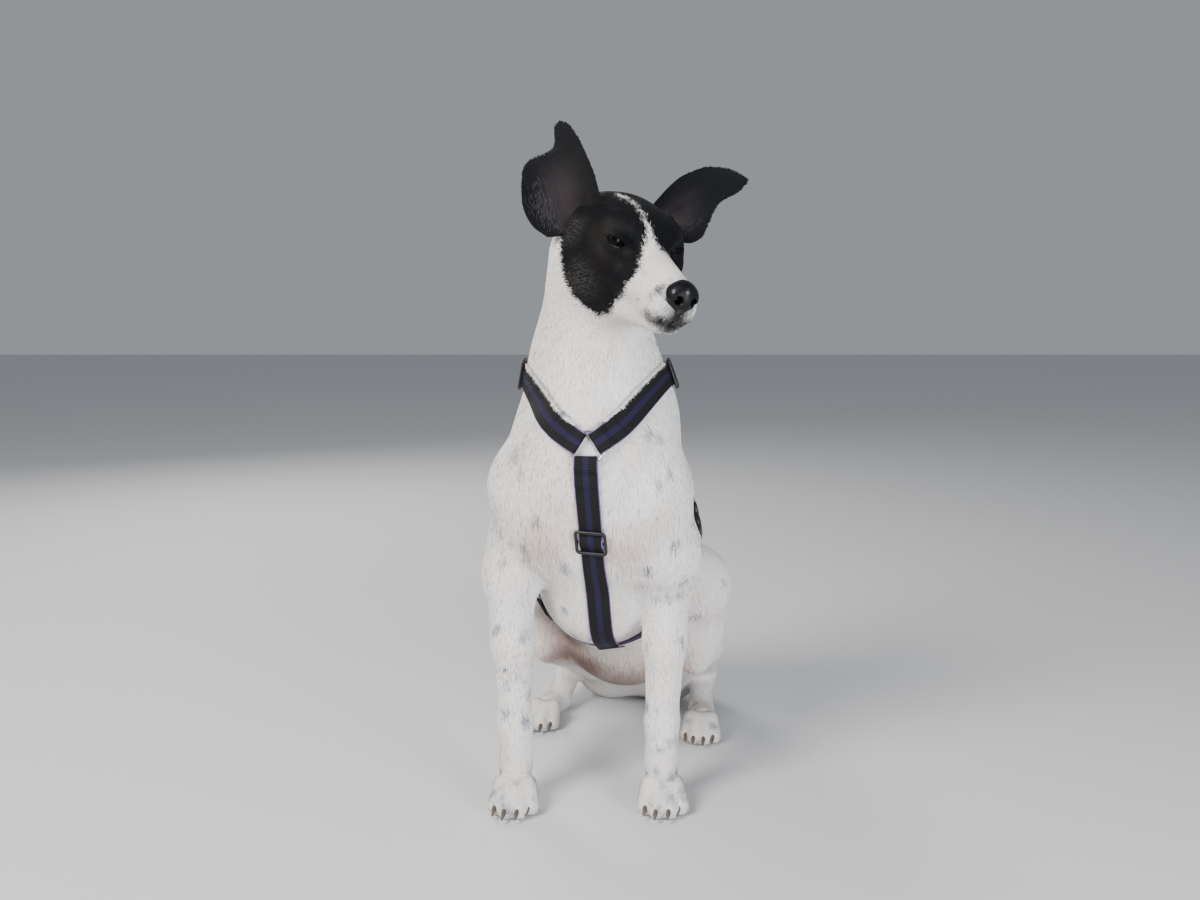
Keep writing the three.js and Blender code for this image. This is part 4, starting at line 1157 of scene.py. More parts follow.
def lay(p, normals):
    """Direction of growth: back and down the trunk, down the chest and legs, forward on the feet."""
    q, h = in_trunk(p), in_head(p)
    way = mix([[0, 0.62, -0.78]], [[0, 0.2, -1]], ramp(-q[:, 1], -70, 40)) * np.ones((len(p), 1))
    way = mix(way, [[0, 0.12, -1]], ramp(-p[:, 2], -260, -190) * (q[:, 1] < 90))
    way = mix(way, [[0, 0.75, -0.66]], ramp(q[:, 1], 90, 140))
    way = mix(way, [[0, -1, -0.35]], ramp(-p[:, 2], -52, -30) * (q[:, 1] < 320))
    way = mix(way, [[0, 1, -0.05]], ramp(q[:, 1], 330, 365))
    way = way @ TRUNK_AXES
    cheek = ramp(-h[:, 2], 5, 45)
    back = mix([[0, -1, 0.05]], [[0, -1, -0.55]], cheek) * np.ones((len(p), 1))
    back[:, 0] += 0.35 * np.sign(h[:, 0]) * ramp(np.abs(h[:, 0]), 4, 25)
    way = mix(way, back @ HEAD_AXES, ramp(h @ [0, 0.574, 0.82], -120, -60) * ramp(h[:, 2], -120, -60))
    off = p - WHORL
    reach = np.linalg.norm(off, axis=1)
    whorl = 0.9 * np.exp(-((reach / 34) ** 4))
    way = mix(way, off / np.maximum(reach, 1)[:, None], whorl)
    way = way + 0.16 * np.column_stack([ripple(p, 46, n) for n in (41, 42, 43)])
    return flattened(way, normals)


LONG, WIDE = 16.5, 1.65  # tufts on the trunk, in millimetres
SHORT, NARROW = 4.6, 0.72  # tufts on the face and the feet


def hair_size(p):
    """Length and width of the tufts at each point."""
    q, h = in_trunk(p), in_head(p)
    face = ramp(h[:, 1], -105, -15) * ramp(h[:, 2], -125, -65)
    feet = ramp(-p[:, 2], -95, -40) * (q[:, 1] < 330)
    legs = ramp(-p[:, 2], -270, -190) * (q[:, 1] < 90)
    small = np.maximum(face, feet)
    length = LONG - 5 * legs - 7 * ramp(q[:, 1], 380, 470)
    width = WIDE - 0.3 * legs
    return length + (SHORT - length) * small, width + (NARROW - width) * small


# %% [markdown]
# ### Tufts
#
# Roots are scattered evenly over the skin's area, thicker where the hair is
# short. A tuft is six triangles on five points: a flat card would be lighter,
# but it shows its edge from the side and doesn't close.

# %% Scattering roots and making tufts
def scatter(points, faces, density):
    """Roots spread over a mesh: each face gets area × density of them, at random places on it."""
    triangles = triangles_of(faces)
    a, b, c = (points[triangles[:, k]] for k in range(3))
    area = np.linalg.norm(np.cross(b - a, c - a), axis=1) / 2
    wanted = area * density[triangles].mean(axis=1)
    count = np.floor(wanted + rng.random(len(wanted))).astype(int)
    chosen = np.repeat(np.arange(len(triangles)), count)
    share = np.sqrt(rng.random(len(chosen)))[:, None]
    turn = rng.random(len(chosen))[:, None]
    return triangles[chosen], np.hstack([1 - share, share * (1 - turn), share * turn])


def blend(values, corners, shares):
    """Values of the mesh's points, taken at the roots."""
    return np.einsum("nk...,nk->n...", values[corners], shares)


def in_cells(distance, p, size=45):
    """A distance worked out cell by cell, so that each cell measures only the masses near it."""
    _, cell = np.unique(np.floor(p / size).astype(int), axis=0, return_inverse=True)
    order = np.argsort(cell.ravel(), kind="stable")
    values = np.empty(len(p))
    for block in np.split(order, np.flatnonzero(np.diff(cell.ravel()[order])) + 1):
        values[block] = distance(p[block])
    return values


TUFT_FACES = np.array([[0, 2, 3], [0, 3, 1], [4, 3, 2], [4, 1, 3], [0, 1, 2], [4, 2, 1]])
TUFT_PATCH = 0.0015 * np.array([[0, -1], [-1, 0], [1, 0], [0, 0.2], [0, 1]])
# place along a tuft, 0 at the root and 1 at the tip; the hair's material paints shade by it towards the
# root
TUFT_RISE = np.array([0, 0.55, 0.55, 0.7, 1])
WIDEST = 0.42  # how far along its length a tuft is widest


def new_coat(name, roots, middles, tips, normals, width, colour, places):
    """A piece of coat: closed slivers of root, left, right and top of the widest place, and tip.

    It has its own normals, and each tuft has a small patch on the map for the export."""
    way = unit(tips - roots)
    across = unit(np.cross(way, normals))
    half = (width / 2)[:, None]
    corners = [roots, middles - half * across, middles + half * across,
               middles + 0.2 * half * normals, tips]
    lean = normals + 0.12 * rng.normal(size=(len(roots), 1)) * across
    leaning = [lean, lean - 0.15 * across, lean + 0.15 * across, lean, lean + 0.15 * way]
    count = len(roots)
    faces = (np.arange(count)[:, None, None] * 5 + TUFT_FACES).reshape(-1, 3)
    stack = lambda rows: np.stack(rows, axis=1).reshape(count * 5, -1)
    colours = np.repeat(colour * rng.normal(1, 0.045, (count, 1)).clip(0.85, 1.12), 5, axis=0)
    piece = new_piece(name, stack(corners), [faces], HAIR, "white_coat",
                      attributes={"coat": colours, "rise": np.tile(TUFT_RISE, count)},
                      uv=("OFBake", (places[:, None] + TUFT_PATCH).reshape(-1, 2)))
    piece.data.normals_split_custom_set_from_vertices(unit(stack(leaning)).tolist())


# %% [markdown]
# ### The coat in pieces
#
# Each tuft goes to the piece of the coat that its root is in: head, neck,
# shoulder, flank, legs or tail, left and right. One piece for the whole coat
# would crowd its unwrap, and a piece this small unrolls round its own axis.

# %% The pieces of the coat
def above(p, point, normal):
    return (p - point) @ unit(normal) > 0


def coat_part(p):
    """Which piece of the coat each point is on, as a word, with its side."""
    q = in_trunk(p)
    names = np.where(q[:, 1] < 120, "shoulder", "flank")
    names = np.where((q[:, 1] > 112) & (p[:, 2] < 240) & (np.abs(q[:, 0]) > 72), "hindleg", names)
    names = np.where((p[:, 2] < 205) & (q[:, 1] < 72) & (np.abs(q[:, 0]) > 38), "foreleg", names)
    names = np.where((q[:, 1] > 359) & (p[:, 2] < 70), "tail", names)
    neck = above(p, body(0, -20, 420), np.array([0, -0.243, 0.97]) @ TRUNK_AXES)
    names = np.where(neck, "neck", names)
    on_head = above(p, head(0, -28, -80), np.array([0, 0.574, 0.82]) @ HEAD_AXES)
    names = np.where(on_head & (p[:, 2] > 440), "head", names)
    side = np.where(np.where(names == "head", in_head(p)[:, 0], q[:, 0]) > 0, "left", "right")
    return np.char.add(np.char.add(names, "_"), side)


COAT_AXES = {  # the line that each piece is unrolled round, and the way its cut faces
    "head": (head(0, 0, -16), HEAD_AXES[1], HEAD_AXES[2]),
    "neck": (body(0, -20, 420), body(0, -20, 520) - body(0, -20, 420), TRUNK_AXES[1]),
    "shoulder": (body(0, 70, 300), body(0, 0, 400) - body(0, 130, 200), TRUNK_AXES[1]),
    "flank": (body(0, 190, 190), body(0, 120, 260) - body(0, 320, 60), TRUNK_AXES[2]),
    "foreleg": (None, np.array([0, 0, 1.0]), TRUNK_AXES[1]),
    "hindleg": (None, TRUNK_AXES[1], TRUNK_AXES[2]),
    "tail": (body(0, 359, 30), TRUNK_AXES[1], TRUNK_AXES[2]),
}


def unrolled(name, p):
    """Place on the unwrap: the angle round the piece's own axis, and the distance along it."""
    start, axis, cut = COAT_AXES[name.split("_")[0]]
    start = p.mean(axis=0) if start is None else start
    axis = unit(axis)
    cut = unit(cut - (cut @ axis) * axis)
    off = p - start
    angle = np.arctan2(off @ np.cross(axis, cut), off @ cut)
    place = np.column_stack([angle, off @ axis])
    low, high = place.min(axis=0), place.max(axis=0)
    return 0.02 + 0.96 * (place - low) / (high - low)


def bare(p):
    """True on the eye's rim, the nose's pad and the soles of the feet."""
    h = in_head(p)
    nose = (h - [0, 87, -18.5]) / [14, 12.5, 14]
    nose = (nose**2).sum(axis=1) < 1.1
    return (eye_shade(p) > 0.5) | nose | (p[:, 2] < 5)


# %% [markdown]
# ### Laying the coat
#
# The roots are scattered first, and then the middle and the tip of each tuft
# are moved to their heights above the skin, so that the coat keeps its depth
# over every hollow. Where two colours meet, each tuft takes its colour from a
# place close by, and that mingles them.

# %% The coat over the body
COVER = 4.0  # how many tufts lie over each point of the skin
TUFT_AREA = 0.6  # of a sliver, as a share of its length times its width
SPARED = 0.38  # how much less the short hair of the face and feet overlaps
EDGE_SCATTER = 1.7  # how far hairs of two colours mingle, in millimetres
length, width = hair_size(skin_points)
crowding = COVER / (TUFT_AREA * length * width) * (1 - SPARED * ramp(-length, -9, -6))
crowding[(skin_normals[:, 2] < -0.55) & (skin_points[:, 2] < 130)] *= 0.5   # underneath, out of sight
crowding[bare(skin_points)] = 0
corners, shares = scatter(skin_points, [skin_quads], crowding)
roots, normals = blend(skin_points, corners, shares), unit(blend(skin_normals, corners, shares))
length, width = hair_size(roots)
length = length * rng.uniform(0.75, 1.25, len(roots))
width = width * rng.uniform(0.8, 1.2, len(roots))
ways = flattened(unit(lay(roots, normals) + 0.13 * rng.normal(size=roots.shape)), normals)
depth = coat_depth(roots)


def lifted(p, height):
    """Moves points along the normal until they are that far above the skin, but not into the ground."""
    moved = p + (height - in_cells(skin_distance, p))[:, None] * normals
    moved[:, 2] = np.maximum(moved[:, 2], GROUND)
    return moved


middles = lifted(roots + WIDEST * length[:, None] * ways, 0.34 * depth)
tips = lifted(roots + length[:, None] * ways, depth * rng.uniform(0.35, 0.7, len(roots)))
roots = roots - 0.25 * normals
parts_of = coat_part(roots)
colour = coat_colour(roots + rng.normal(0, EDGE_SCATTER, roots.shape))
print(len(roots), "tufts on the body")
for name in np.unique(parts_of):
    n = parts_of == name
    new_coat(f"coat_{name}", roots[n], middles[n], tips[n], normals[n], width[n], colour[n],
             unrolled(name, roots[n]))

# %% [markdown]
# ### Hair of the ears
#
# The ears have the same slivers, shorter, with fewer on the bare inner face
# and a frosted fringe along the rim of the ear that stands up. A leaf this
# thin has to know which face it is on, so each root carries its place in it.

# %% Hair of the ears
BARER = 0.72  # how much thinner the hair is inside the ear


for side, part in ear_parts.items():
    corners, shares = scatter(part["points"], part["faces"], 1 - BARER * part["inner"])
    kinds = ("points", "normals", "t", "x", "face", "inner", "colour")
    roots, normals, t, x, face, shade, colour = (blend(part[kind], corners, shares) for kind in kinds)
    normals = unit(normals)
    ear = part["ear"]
    ways = flattened(ear["up"] + 0.16 * rng.normal(size=roots.shape), normals)
    low, wide = through(ear["outer"], t), through(ear["inner"], t) - through(ear["outer"], t)
    across = np.clip((x - low) / np.maximum(wide, 1), 0, 1)
    fringe = np.exp(-(((across - 0.24) / 0.12) ** 2) - ((t - 8) / 20) ** 2) * (face > 0)
    frosted = rng.random(len(roots)) < ear["frost"] * fringe
    length = rng.uniform(2.2, 3.4, len(roots)) * (1 + 0.5 * shade) * (1 + 0.8 * frosted)
    high = rng.uniform(0.2, 0.5, len(roots)) * (1 + 2 * frosted)
    middles = roots + WIDEST * length[:, None] * ways + 0.5 * high[:, None] * normals
    tips = roots + length[:, None] * ways + high[:, None] * normals
    colour = mix(colour, FROST_HAIR, 0.06 * shade + 0.35 * frosted)
    places = np.column_stack([0.02 + 0.46 * across + 0.5 * (face > 0),
                              0.02 + 0.96 * (t - EAR_BEGINS) / (ear["tip"] - EAR_BEGINS)])
    new_coat(f"coat_ear_{side}", roots - 0.2 * normals, middles, tips, normals,
             rng.uniform(0.55, 0.8, len(roots)), colour, places)

# %% [markdown]
# ## Face
#
# Eyes, nose, lips and whiskers are what a person looks at first. The eyeball
# is nearly a sphere with a clear bulge in front, and its wet coat gives the
# catchlight; the iris is so dark that the pupil hardly shows. Round it runs a
# thin moist rim, the edge of the two lids, with a small pink-brown caruncle in
# the inner corner.

# %% Shape and materials of the eyes
FOLD_SIZE = 0.7  # of the moist skin's fine folds, in millimetres


def egg_points(middle, axes, radii, rows=40, columns=56, bulge=0.0):
    """Rows of points from the front pole to the back one of an egg, with a cornea if asked.

    The radius is multiplied by 1 + bulge·exp(-(angle from the look/0.42)²)."""
    polar = (np.linspace(0.02, 1, rows) ** 1.15 * (np.pi - 0.08))[:, None]
    turn = around(columns)
    rise = 1 + bulge * np.exp(-((polar / 0.42) ** 2))
    sphere = np.stack([np.sin(polar) * np.cos(turn), np.cos(polar) * np.ones(columns),
                       np.sin(polar) * np.sin(turn)], axis=-1)
    return middle + (sphere * radii * rise[..., None]) @ axes


def eye_material():
    """Wet dark eye: colour under a clear smooth layer that mirrors the lamps."""
    material, tree = new_material("wet_eyeball")
    colour = add(tree, "Attribute", attribute_name="coat")["Color"]
    finish_material(tree, Base_Color=colour, Roughness=0.4, Specular_IOR_Level=0.03,
                    Coat_Weight=0.32, Coat_Roughness=0.02, Coat_IOR=1.36)
    return material


def moist_material():
    """Bare dark skin kept wet: lid rims and lips, with a soft broad shine."""
    material, tree = new_material("moist_bare_skin")
    place = add(tree, "TexCoord")["Object"]
    colour = add(tree, "Attribute", attribute_name="coat")["Color"]
    folds = add(tree, "TexNoise", {"Vector": place, "Scale": 1 / (FOLD_SIZE * MM)})[0]
    bump = add(tree, "Bump", {"Height": folds, "Strength": 0.3, "Distance": 0.2 * MM})[0]
    finish_material(tree, Base_Color=colour, Normal=bump, Roughness=0.42,
                    Coat_Weight=0.2, Coat_Roughness=0.2)
    return material


EYE, MOIST = eye_material(), moist_material()

# %% Eyeballs, and the rims of their lids
PUPIL, IRIS, IRIS_EDGE, WHITE_OF_EYE = (linear(c) for c in ("020202", "0e0a08", "050302", "2a2421"))
GAZE_RISE = np.radians(12)  # the eyes look up from the nodding head


def raised(axes):
    """The eye's axes turned up to its gaze; the ball is as high as it is deep, so it stays the same."""
    nosewards, look, up = axes
    gaze = np.cos(GAZE_RISE) * look + np.sin(GAZE_RISE) * up
    return np.array([nosewards, gaze, np.cos(GAZE_RISE) * up - np.sin(GAZE_RISE) * look])


def eye_colours(points, middle, axes):
    """Rings round the gaze: pupil to 22°, iris with fine spokes to 50°, then the white."""
    e = unit((points - middle) @ axes.T)
    angle = np.degrees(np.arccos(np.clip(e[:, 1], -1, 1)))
    spoke = np.sin(np.arctan2(e[:, 2], e[:, 0]) * 29) * 0.5 + 0.5
    iris = mix(IRIS, IRIS_EDGE, ramp(angle, 36, 50) * 0.9) * (0.75 + 0.4 * spoke[:, None])
    return mix(mix(PUPIL, iris, ramp(angle, 20, 24)), WHITE_OF_EYE, ramp(angle, 50, 54))


def lid_rim(middle, axes, count=72):
    """A line on the eyeball along the almond: across = half width·cos, up = half height·sin^1.6.

    Returns its points and the directions across it and away from the eye."""
    turn = around(count)
    across = WINDOW_HALF_WIDTH * np.cos(turn)
    up = 0.5 + WINDOW_HALF_HEIGHT * np.abs(np.sin(turn)) ** 1.6 * np.sign(np.sin(turn))
    x = across * np.cos(WINDOW_TILT) + up * np.sin(WINDOW_TILT)
    z = up * np.cos(WINDOW_TILT) - across * np.sin(WINDOW_TILT)
    radii = EYEBALL + 0.9
    y = radii[1] * np.sqrt(np.clip(1 - (x / radii[0]) ** 2 - (z / radii[2]) ** 2, 0.05, 1))
    path = np.column_stack([x, y, z])
    tangent = unit(np.roll(path, -1, axis=0) - np.roll(path, 1, axis=0))
    away = unit(path / radii**2)
    return middle + path @ axes, np.cross(away, tangent) @ axes, away @ axes


def circle(radius, corners, stretch=1.0):
    """A round profile: x = radius·sin, z = radius·stretch·cos."""
    turn = around(corners)
    return np.column_stack([np.sin(turn), stretch * np.cos(turn)]) * radius


RIM_SKIN, CARUNCLE = linear("0c0909"), linear("3a231f")
for s, (middle, axes) in EYE_FRAMES.items():
    side = "left" if s > 0 else "right"
    points, faces = tube(egg_points(middle, raised(axes), EYEBALL, bulge=0.07))
    new_piece(f"eye_{side}", points, faces, EYE, "eye", [f"eye_{side}"],
              {"coat": eye_colours(points, middle, raised(axes))})
    rim = sweep(*lid_rim(middle, axes), circle(0.75, 10), closed=True)
    inner = np.array([9.6, 0, -2.2]) / EYEBALL
    corner = middle + (np.array([inner[0], np.sqrt(1 - inner @ inner), inner[2]]) * EYEBALL) @ axes
    drop = tube(egg_points(corner, axes, np.array([1.7, 1.1, 1.1]), 12, 16))
    points, faces = merged([rim, drop])
    shade = np.vstack([np.tile(RIM_SKIN, (len(rim[0]), 1)), np.tile(CARUNCLE, (len(drop[0]), 1))])
    new_piece(f"eyelid_rim_{side}", points, faces, MOIST, "black_coat", attributes={"coat": shade})

# %% [markdown]
# ### Nose
#
# The pad is bare, thick, pebbled skin over a cartilage that splits into two
# comma-shaped nostrils with a slit out to each side and a groove down the
# middle. It is drawn as a net of its own at a finer step than the skin, and
# the pebbles, under a millimetre across, are cells in its bump.

# %% Nose
NOSE_PAD = [
    egg([0, 83.5, -18], [11.5, 12.8, 13.0], 0),
    egg([7.9, 84, -18.5], [7.6, 11.0, 10.2], 3),
    egg([0, 85.5, -12], [9.6, 9.6, 7.0], 4),
    rod([0, 86, -22.7], [0, 82, -28.6], 9.8, 8.0, 5, 1, SIDE),
]
PHILTRUM = rod([0, 98, -19], [0, 91.5, -37], 0.7, 1.0, 0, 1, SIDE)[0]
PEBBLE_SIZE = 0.95


def nose_distance(p):
    """The pad's masses, less the nostrils and the middle groove."""
    q = in_head(p)
    q[:, 0] = np.abs(q[:, 0])
    d = smooth_maximum(joined(NOSE_PAD, q), 73 - q[:, 1], 3)
    d = smooth_maximum(d, -joined(NOSTRIL, q), 1.6)
    return smooth_maximum(d, -PHILTRUM(q), 0.9) * HEAD_SIZE


def nose_material():
    """Wet black leather: pebbles in the bump, a clear thin film over them, and painted shade inside the
    nostrils.
    """
    material, tree = new_material("pebbled_nose_leather")
    place = add(tree, "TexCoord")["Object"]
    pebbles = {"Vector": place, "Scale": 1 / (PEBBLE_SIZE * MM), "Randomness": 0.9}
    pebbles = add(tree, "TexVoronoi", pebbles, feature="DISTANCE_TO_EDGE")["Distance"]
    rounded = add(tree, "MapRange", {"Value": pebbles, "From Max": 0.22},
                  interpolation_type="SMOOTHSTEP")[0]
    bump = add(tree, "Bump", {"Height": rounded, "Strength": 0.35, "Distance": 0.14 * MM})[0]
    # painted shade: the colour is darker inside the nostrils
    hollow = add(tree, "Attribute", attribute_name="depth")["Fac"]
    colour = add(tree, "Mix", {"Factor": hollow, "A": rgba("060609"), "B": rgba("030303")},
                 data_type="RGBA")["Result"]
    finish_material(tree, Base_Color=colour, Normal=bump, Roughness=0.4,
                    Specular_IOR_Level=0.16, Coat_Weight=0.25, Coat_Roughness=0.14)
    return material


NOSE_MIDDLE, NOSE_REACH, NOSE_STEP = head(0, 86, -18.5), 26, 0.95
nose_points, nose_quads = net(nose_distance, NOSE_MIDDLE - NOSE_REACH, NOSE_MIDDLE + NOSE_REACH, NOSE_STEP)
# how deep in a nostril each point lies, which darkens it as painted shade
holes = in_head(nose_points)
holes[:, 0] = np.abs(holes[:, 0])
hollow = ramp(-joined(NOSTRIL, holes), -0.6, 0.4) * ramp(-holes[:, 1], -96, -92)
new_piece("nose", nose_points, [nose_quads], nose_material(), "nose_leather", ["nose"], {"depth": hollow})

# %% [markdown]
# ### Lips and whiskers
#
# The upper lip hangs a little over the lower one, and what shows from outside
# is a dark moist line from under the nose back to the corner of the mouth.
# The line is found on the skin by looking outwards from the middle of the
# head. Whiskers are single stiff hairs, so each is a thin tapering tube.

# %% Finding places on a surface
def first_outside(distance, start, way, reach=90.0):
    """Walks out from inside the body until the distance is nought, one ray for each row."""
    travel = np.zeros(len(start))
    for _ in range(50):
        travel = np.clip(travel - 0.8 * distance(start + travel[:, None] * way), 0, reach)
    return start + travel[:, None] * way


# %% Lips
MOUTH = [  # share of the way from front to corner, how far forward, how high
    [0, 92, -40.5], [0.12, 87, -43.5], [0.25, 77, -47], [0.45, 60, -49.5], [0.65, 40, -52],
    [0.85, 20, -56.5], [1, 9, -62],
]
LIP_HALF_WIDTH, LIP_HALF_HEIGHT = 1.25, 0.85


def lip_line(s, count=64):
    """Points of the mouth's line on one side, with the directions across it and out of the skin."""
    share = np.linspace(0, 1, count)
    table = np.array(MOUTH)
    y, z = (through(table[:, [0, k]], share) for k in (1, 2))
    turn = np.radians(90) * ramp(share, 0, 0.26)
    start = np.column_stack([0 * y, np.minimum(y, 76), z])
    way = np.column_stack([s * np.sin(turn), np.cos(turn), 0 * y])
    path = first_outside(skin_distance, head(*start.T), way @ HEAD_AXES)
    normal = slope(skin_distance, path)
    tangent = unit(np.gradient(path, axis=0))
    return path, unit(np.cross(normal, tangent)), normal, share


lips = []
for s in (1, -1):
    path, across, normal, share = lip_line(s)
    size = 0.25 + 0.75 * ramp(share, 0, 0.05) * ramp(-share, -0.75, -0.2)
    profile = circle(LIP_HALF_WIDTH, 10, LIP_HALF_HEIGHT / LIP_HALF_WIDTH) * size[:, None, None]
    lips.append(sweep(path - 0.35 * normal, across, normal, profile))
lip_points, lip_faces = merged(lips)
front = ramp(in_head(lip_points)[:, 1], 45, 75)
new_piece("lips", lip_points, lip_faces, MOIST, "black_coat",
          attributes={"coat": mix(linear("3d2a24"), BLACK_SKIN, front)})

# %% Whiskers
def stiff_hairs(starts, ways, lengths, radius, droop):
    """Tapering tubes: point = start + way·t·length - droop·t²·length downwards."""
    t = np.linspace(0, 1, 9)[:, None]
    made = []
    for start, way, length in zip(starts, ways, lengths):
        path = start + way * t * length - [0, 0, droop] * t**2 * length
        tangent = unit(np.gradient(path, axis=0))
        across = unit(np.cross(tangent, [0.1, 0.2, 1.0]))
        taper = (1 - 0.85 * t[:, :, None]) * circle(radius, 4)
        made.append(sweep(path, across, np.cross(across, tangent), taper))
    return merged(made)


WHISKER_RADIUS, WHISKER_DROOP = 0.1, 0.18
whiskers = []
for s in (1, -1):
    for row, count in enumerate((2, 3, 3)):
        for n in range(count):
            place = head(0, 48 + 5.2 * n + 2 * row, -22 - 6.5 * row + 0.7 * n)
            way = unit(np.array([s * 1.0, -0.30 - 0.1 * (5 - n), -0.18 - 0.12 * row]) @ HEAD_AXES)
            whiskers.append((place, unit(s * HEAD_AXES[0]), unit(way + 0.08 * rng.normal(size=3)),
                             rng.uniform(16, 34)))
places, casts, ways, lengths = (np.array(values) for values in zip(*whiskers))
on_lip = first_outside(skin_distance, places, casts)
points, faces = stiff_hairs(on_lip, ways, lengths, WHISKER_RADIUS, WHISKER_DROOP)
new_piece("whiskers", points, faces, HAIR, "black_coat",
          attributes={"coat": np.tile(linear("8d867f"), (len(points), 1)), "rise": np.ones(len(points))})

# %% [markdown]
# ## Claws
#
# A claw is a cone of horn bent downwards, round on top and worn blunt. It is
# carried along a short arc from inside the toe, and each paw's four are one
# piece.

# %% Claws
UP = np.array([0, 0, 1.0])
CLAW_LENGTH, CLAW_RADIUS = 12.0, 2.6
HORN_STREAK = 1.6  # width of a streak in the horn


def claw(tip, ahead):
    """A tapering tube along an arc: point = start + length·(t·ahead - (0.12t + 0.38t²)·up)."""
    t = np.linspace(0, 1, 16)[:, None]
    ahead = unit(ahead)
    start = tip + 6.0 * ahead + [0, 0, 2.2]
    path = start + CLAW_LENGTH * (t * ahead - UP * (0.12 * t + 0.38 * t**2))
    tangent = unit(np.gradient(path, axis=0))
    across = unit(np.cross(tangent, UP))
    size = (1 - t**2.2) ** 0.55 * 0.96 + 0.04
    profile = circle(CLAW_RADIUS, 14, 1.15) * size[:, :, None]
    return sweep(path, across, np.cross(across, tangent), profile)


def horn_material():
    """Claw horn: layered keratin with faint lengthwise streaks."""
    material, tree = new_material("claw_horn")
    place = add(tree, "TexCoord")["Object"]
    streak = {"Vector": place, "Scale": 1 / (HORN_STREAK * MM), "Detail": 3.0}
    streak = add(tree, "TexNoise", streak)[0]
    colour = add(tree, "Mix", {"Factor": streak, "A": rgba("2a2421"), "B": rgba("6d6055")},
                 data_type="RGBA")["Result"]
    finish_material(tree, Base_Color=colour, Roughness=0.35)
    return material


HORN = horn_material()
for paw, toe, toes in (("forepaw", fore_toe, FORE_TOES), ("hindpaw", hind_toe, HIND_TOES)):
    for s, side in ((1, "left"), (-1, "right")):
        made = [claw(toe(s, *place)[1], -TRUNK_AXES[1]) for place in toes]
        names = [f"claw_{paw}_{side}_{n + 1}" for n in range(len(made))]
        new_piece(f"claws_{paw}_{side}", *merged(made), HORN, "claw_horn", names)

# %% [markdown]
# ## Harness
#
# The harness is ribbed nylon webbing, 25 mm wide, sewn round steel rings at
# the breastbone and the withers, with a plastic slider on each adjustable
# length and a side-release buckle on the girth. Each band is a real length of
# webbing: its path is found by looking outwards from inside the body, and its
# ends turn round the ring's wire and come back underneath, where they are
# stitched. Cloth simulation could drape it, but a taut strap already follows
# the shortest way over the coat.

# %% Where each band runs
WEBBING_HALF_WIDTH, WEBBING_HALF_THICKNESS = 12.5, 0.85
RING_RADIUS, WIRE_RADIUS = 16.2, 1.8
ON_COAT = 0.4 + WEBBING_HALF_THICKNESS
RIB = 1.6  # pitch of the weave's ribs
FRONT_RING_ANGLE, WITHERS_TURN = 7, 173


def trunk_ways(x, y, z):
    return unit(np.stack(np.broadcast_arrays(x, y, z), axis=-1).astype(float)) @ TRUNK_AXES


def collar_place(s, turn):
    """Round the chest and shoulders at a height that rises by 66·sin(turn) from the front ring."""
    angle = np.radians(FRONT_RING_ANGLE + s * turn)
    height = 382 + 66 * np.sin(np.radians(np.minimum(turn, 90)))
    return body(0 * turn, 45 + 0 * turn, height), trunk_ways(np.sin(angle), -np.cos(angle), 0)


def chest_place(turn):
    angle = np.radians(turn)
    return body(12 + 0 * turn, 95 + 0 * turn, 290 + 0 * turn), trunk_ways(0, -np.cos(angle), -np.sin(angle))


def back_place(turn):
    angle = np.radians(turn)
    return body(0 * turn, 60 + 0 * turn, 330 + 0 * turn), trunk_ways(0, np.cos(angle), np.sin(angle))


def girth_place(turn):
    """Round the ribs in a plane from low behind the elbows to high behind the shoulders."""
    angle = np.radians(turn)
    climb = unit(np.array([-6.0, 96, 192]))
    left, down = np.sin(angle), np.cos(angle)
    start = np.tile(body(3, 120, 244), (len(turn), 1))
    return start, trunk_ways(left - climb[0] * down, -climb[1] * down, -climb[2] * down)


def on_coat(place, turn):
    """Points of a band's middle line, the normals there, and the directions along and across."""
    turn = np.atleast_1d(np.asarray(turn, float))
    point = first_outside(dog_distance, *place(turn), 400)
    normal = slope(dog_distance, point, 3.0)
    ahead = first_outside(dog_distance, *place(turn + 0.5), 400)
    along = unit(ahead - point)
    across = unit(np.cross(normal, along))
    return point, np.cross(across, normal) * -1, across, unit(normal)


def pace(place, turn):
    """Millimetres of coat for each degree of turn."""
    near, far = (first_outside(dog_distance, *place(np.array([turn + d])), 400)[0] for d in (0, 0.5))
    return np.linalg.norm(far - near) / 0.5


def stepped(pairs, t):
    """A curve through [place, value] pairs, level at each of them."""
    _, value, n, u = spans(pairs, t)
    return value[n] + (value[n + 1] - value[n]) * u * u * (3 - 2 * u)


# %% [markdown]
# ### A length of webbing
#
# A band is one sweep from end to end. At a ring it comes in underneath, turns
# round the wire and goes out on top of itself; over a slider's middle bar it
# climbs a hump; and its edges bend down to the coat, as cloth does.

# %% One band, with its folds and humps
FOLD_RADIUS, FOLD_HEIGHT, UNDER = 2.7, 3.6, 0.9
HUMP = 3.6  # how high a band climbs over a middle bar


def ring_end(chord):
    """Where a band goes at a ring: [distance from the ring's middle, height], from its sewn end.

    It comes in under the wire, turns round it on a half circle whose middle is
    `chord` away from the ring's middle, and goes out again on top of itself."""
    turn = np.linspace(0, np.pi, 11)
    under = np.linspace(chord + 25, chord, 16)
    back = np.linspace(chord, chord + 34, 26)[1:]
    top = stepped([[0, FOLD_HEIGHT + FOLD_RADIUS], [7, FOLD_HEIGHT + FOLD_RADIUS],
                   [16, UNDER + 1.9], [26, UNDER + 1.9], [32, ON_COAT]], back - chord)
    fold = np.column_stack([chord - FOLD_RADIUS * np.sin(turn), FOLD_HEIGHT - FOLD_RADIUS * np.cos(turn)])
    return np.vstack([np.column_stack([under[:-1], UNDER + 0 * under[:-1]]), fold,
                      np.column_stack([back, top])])


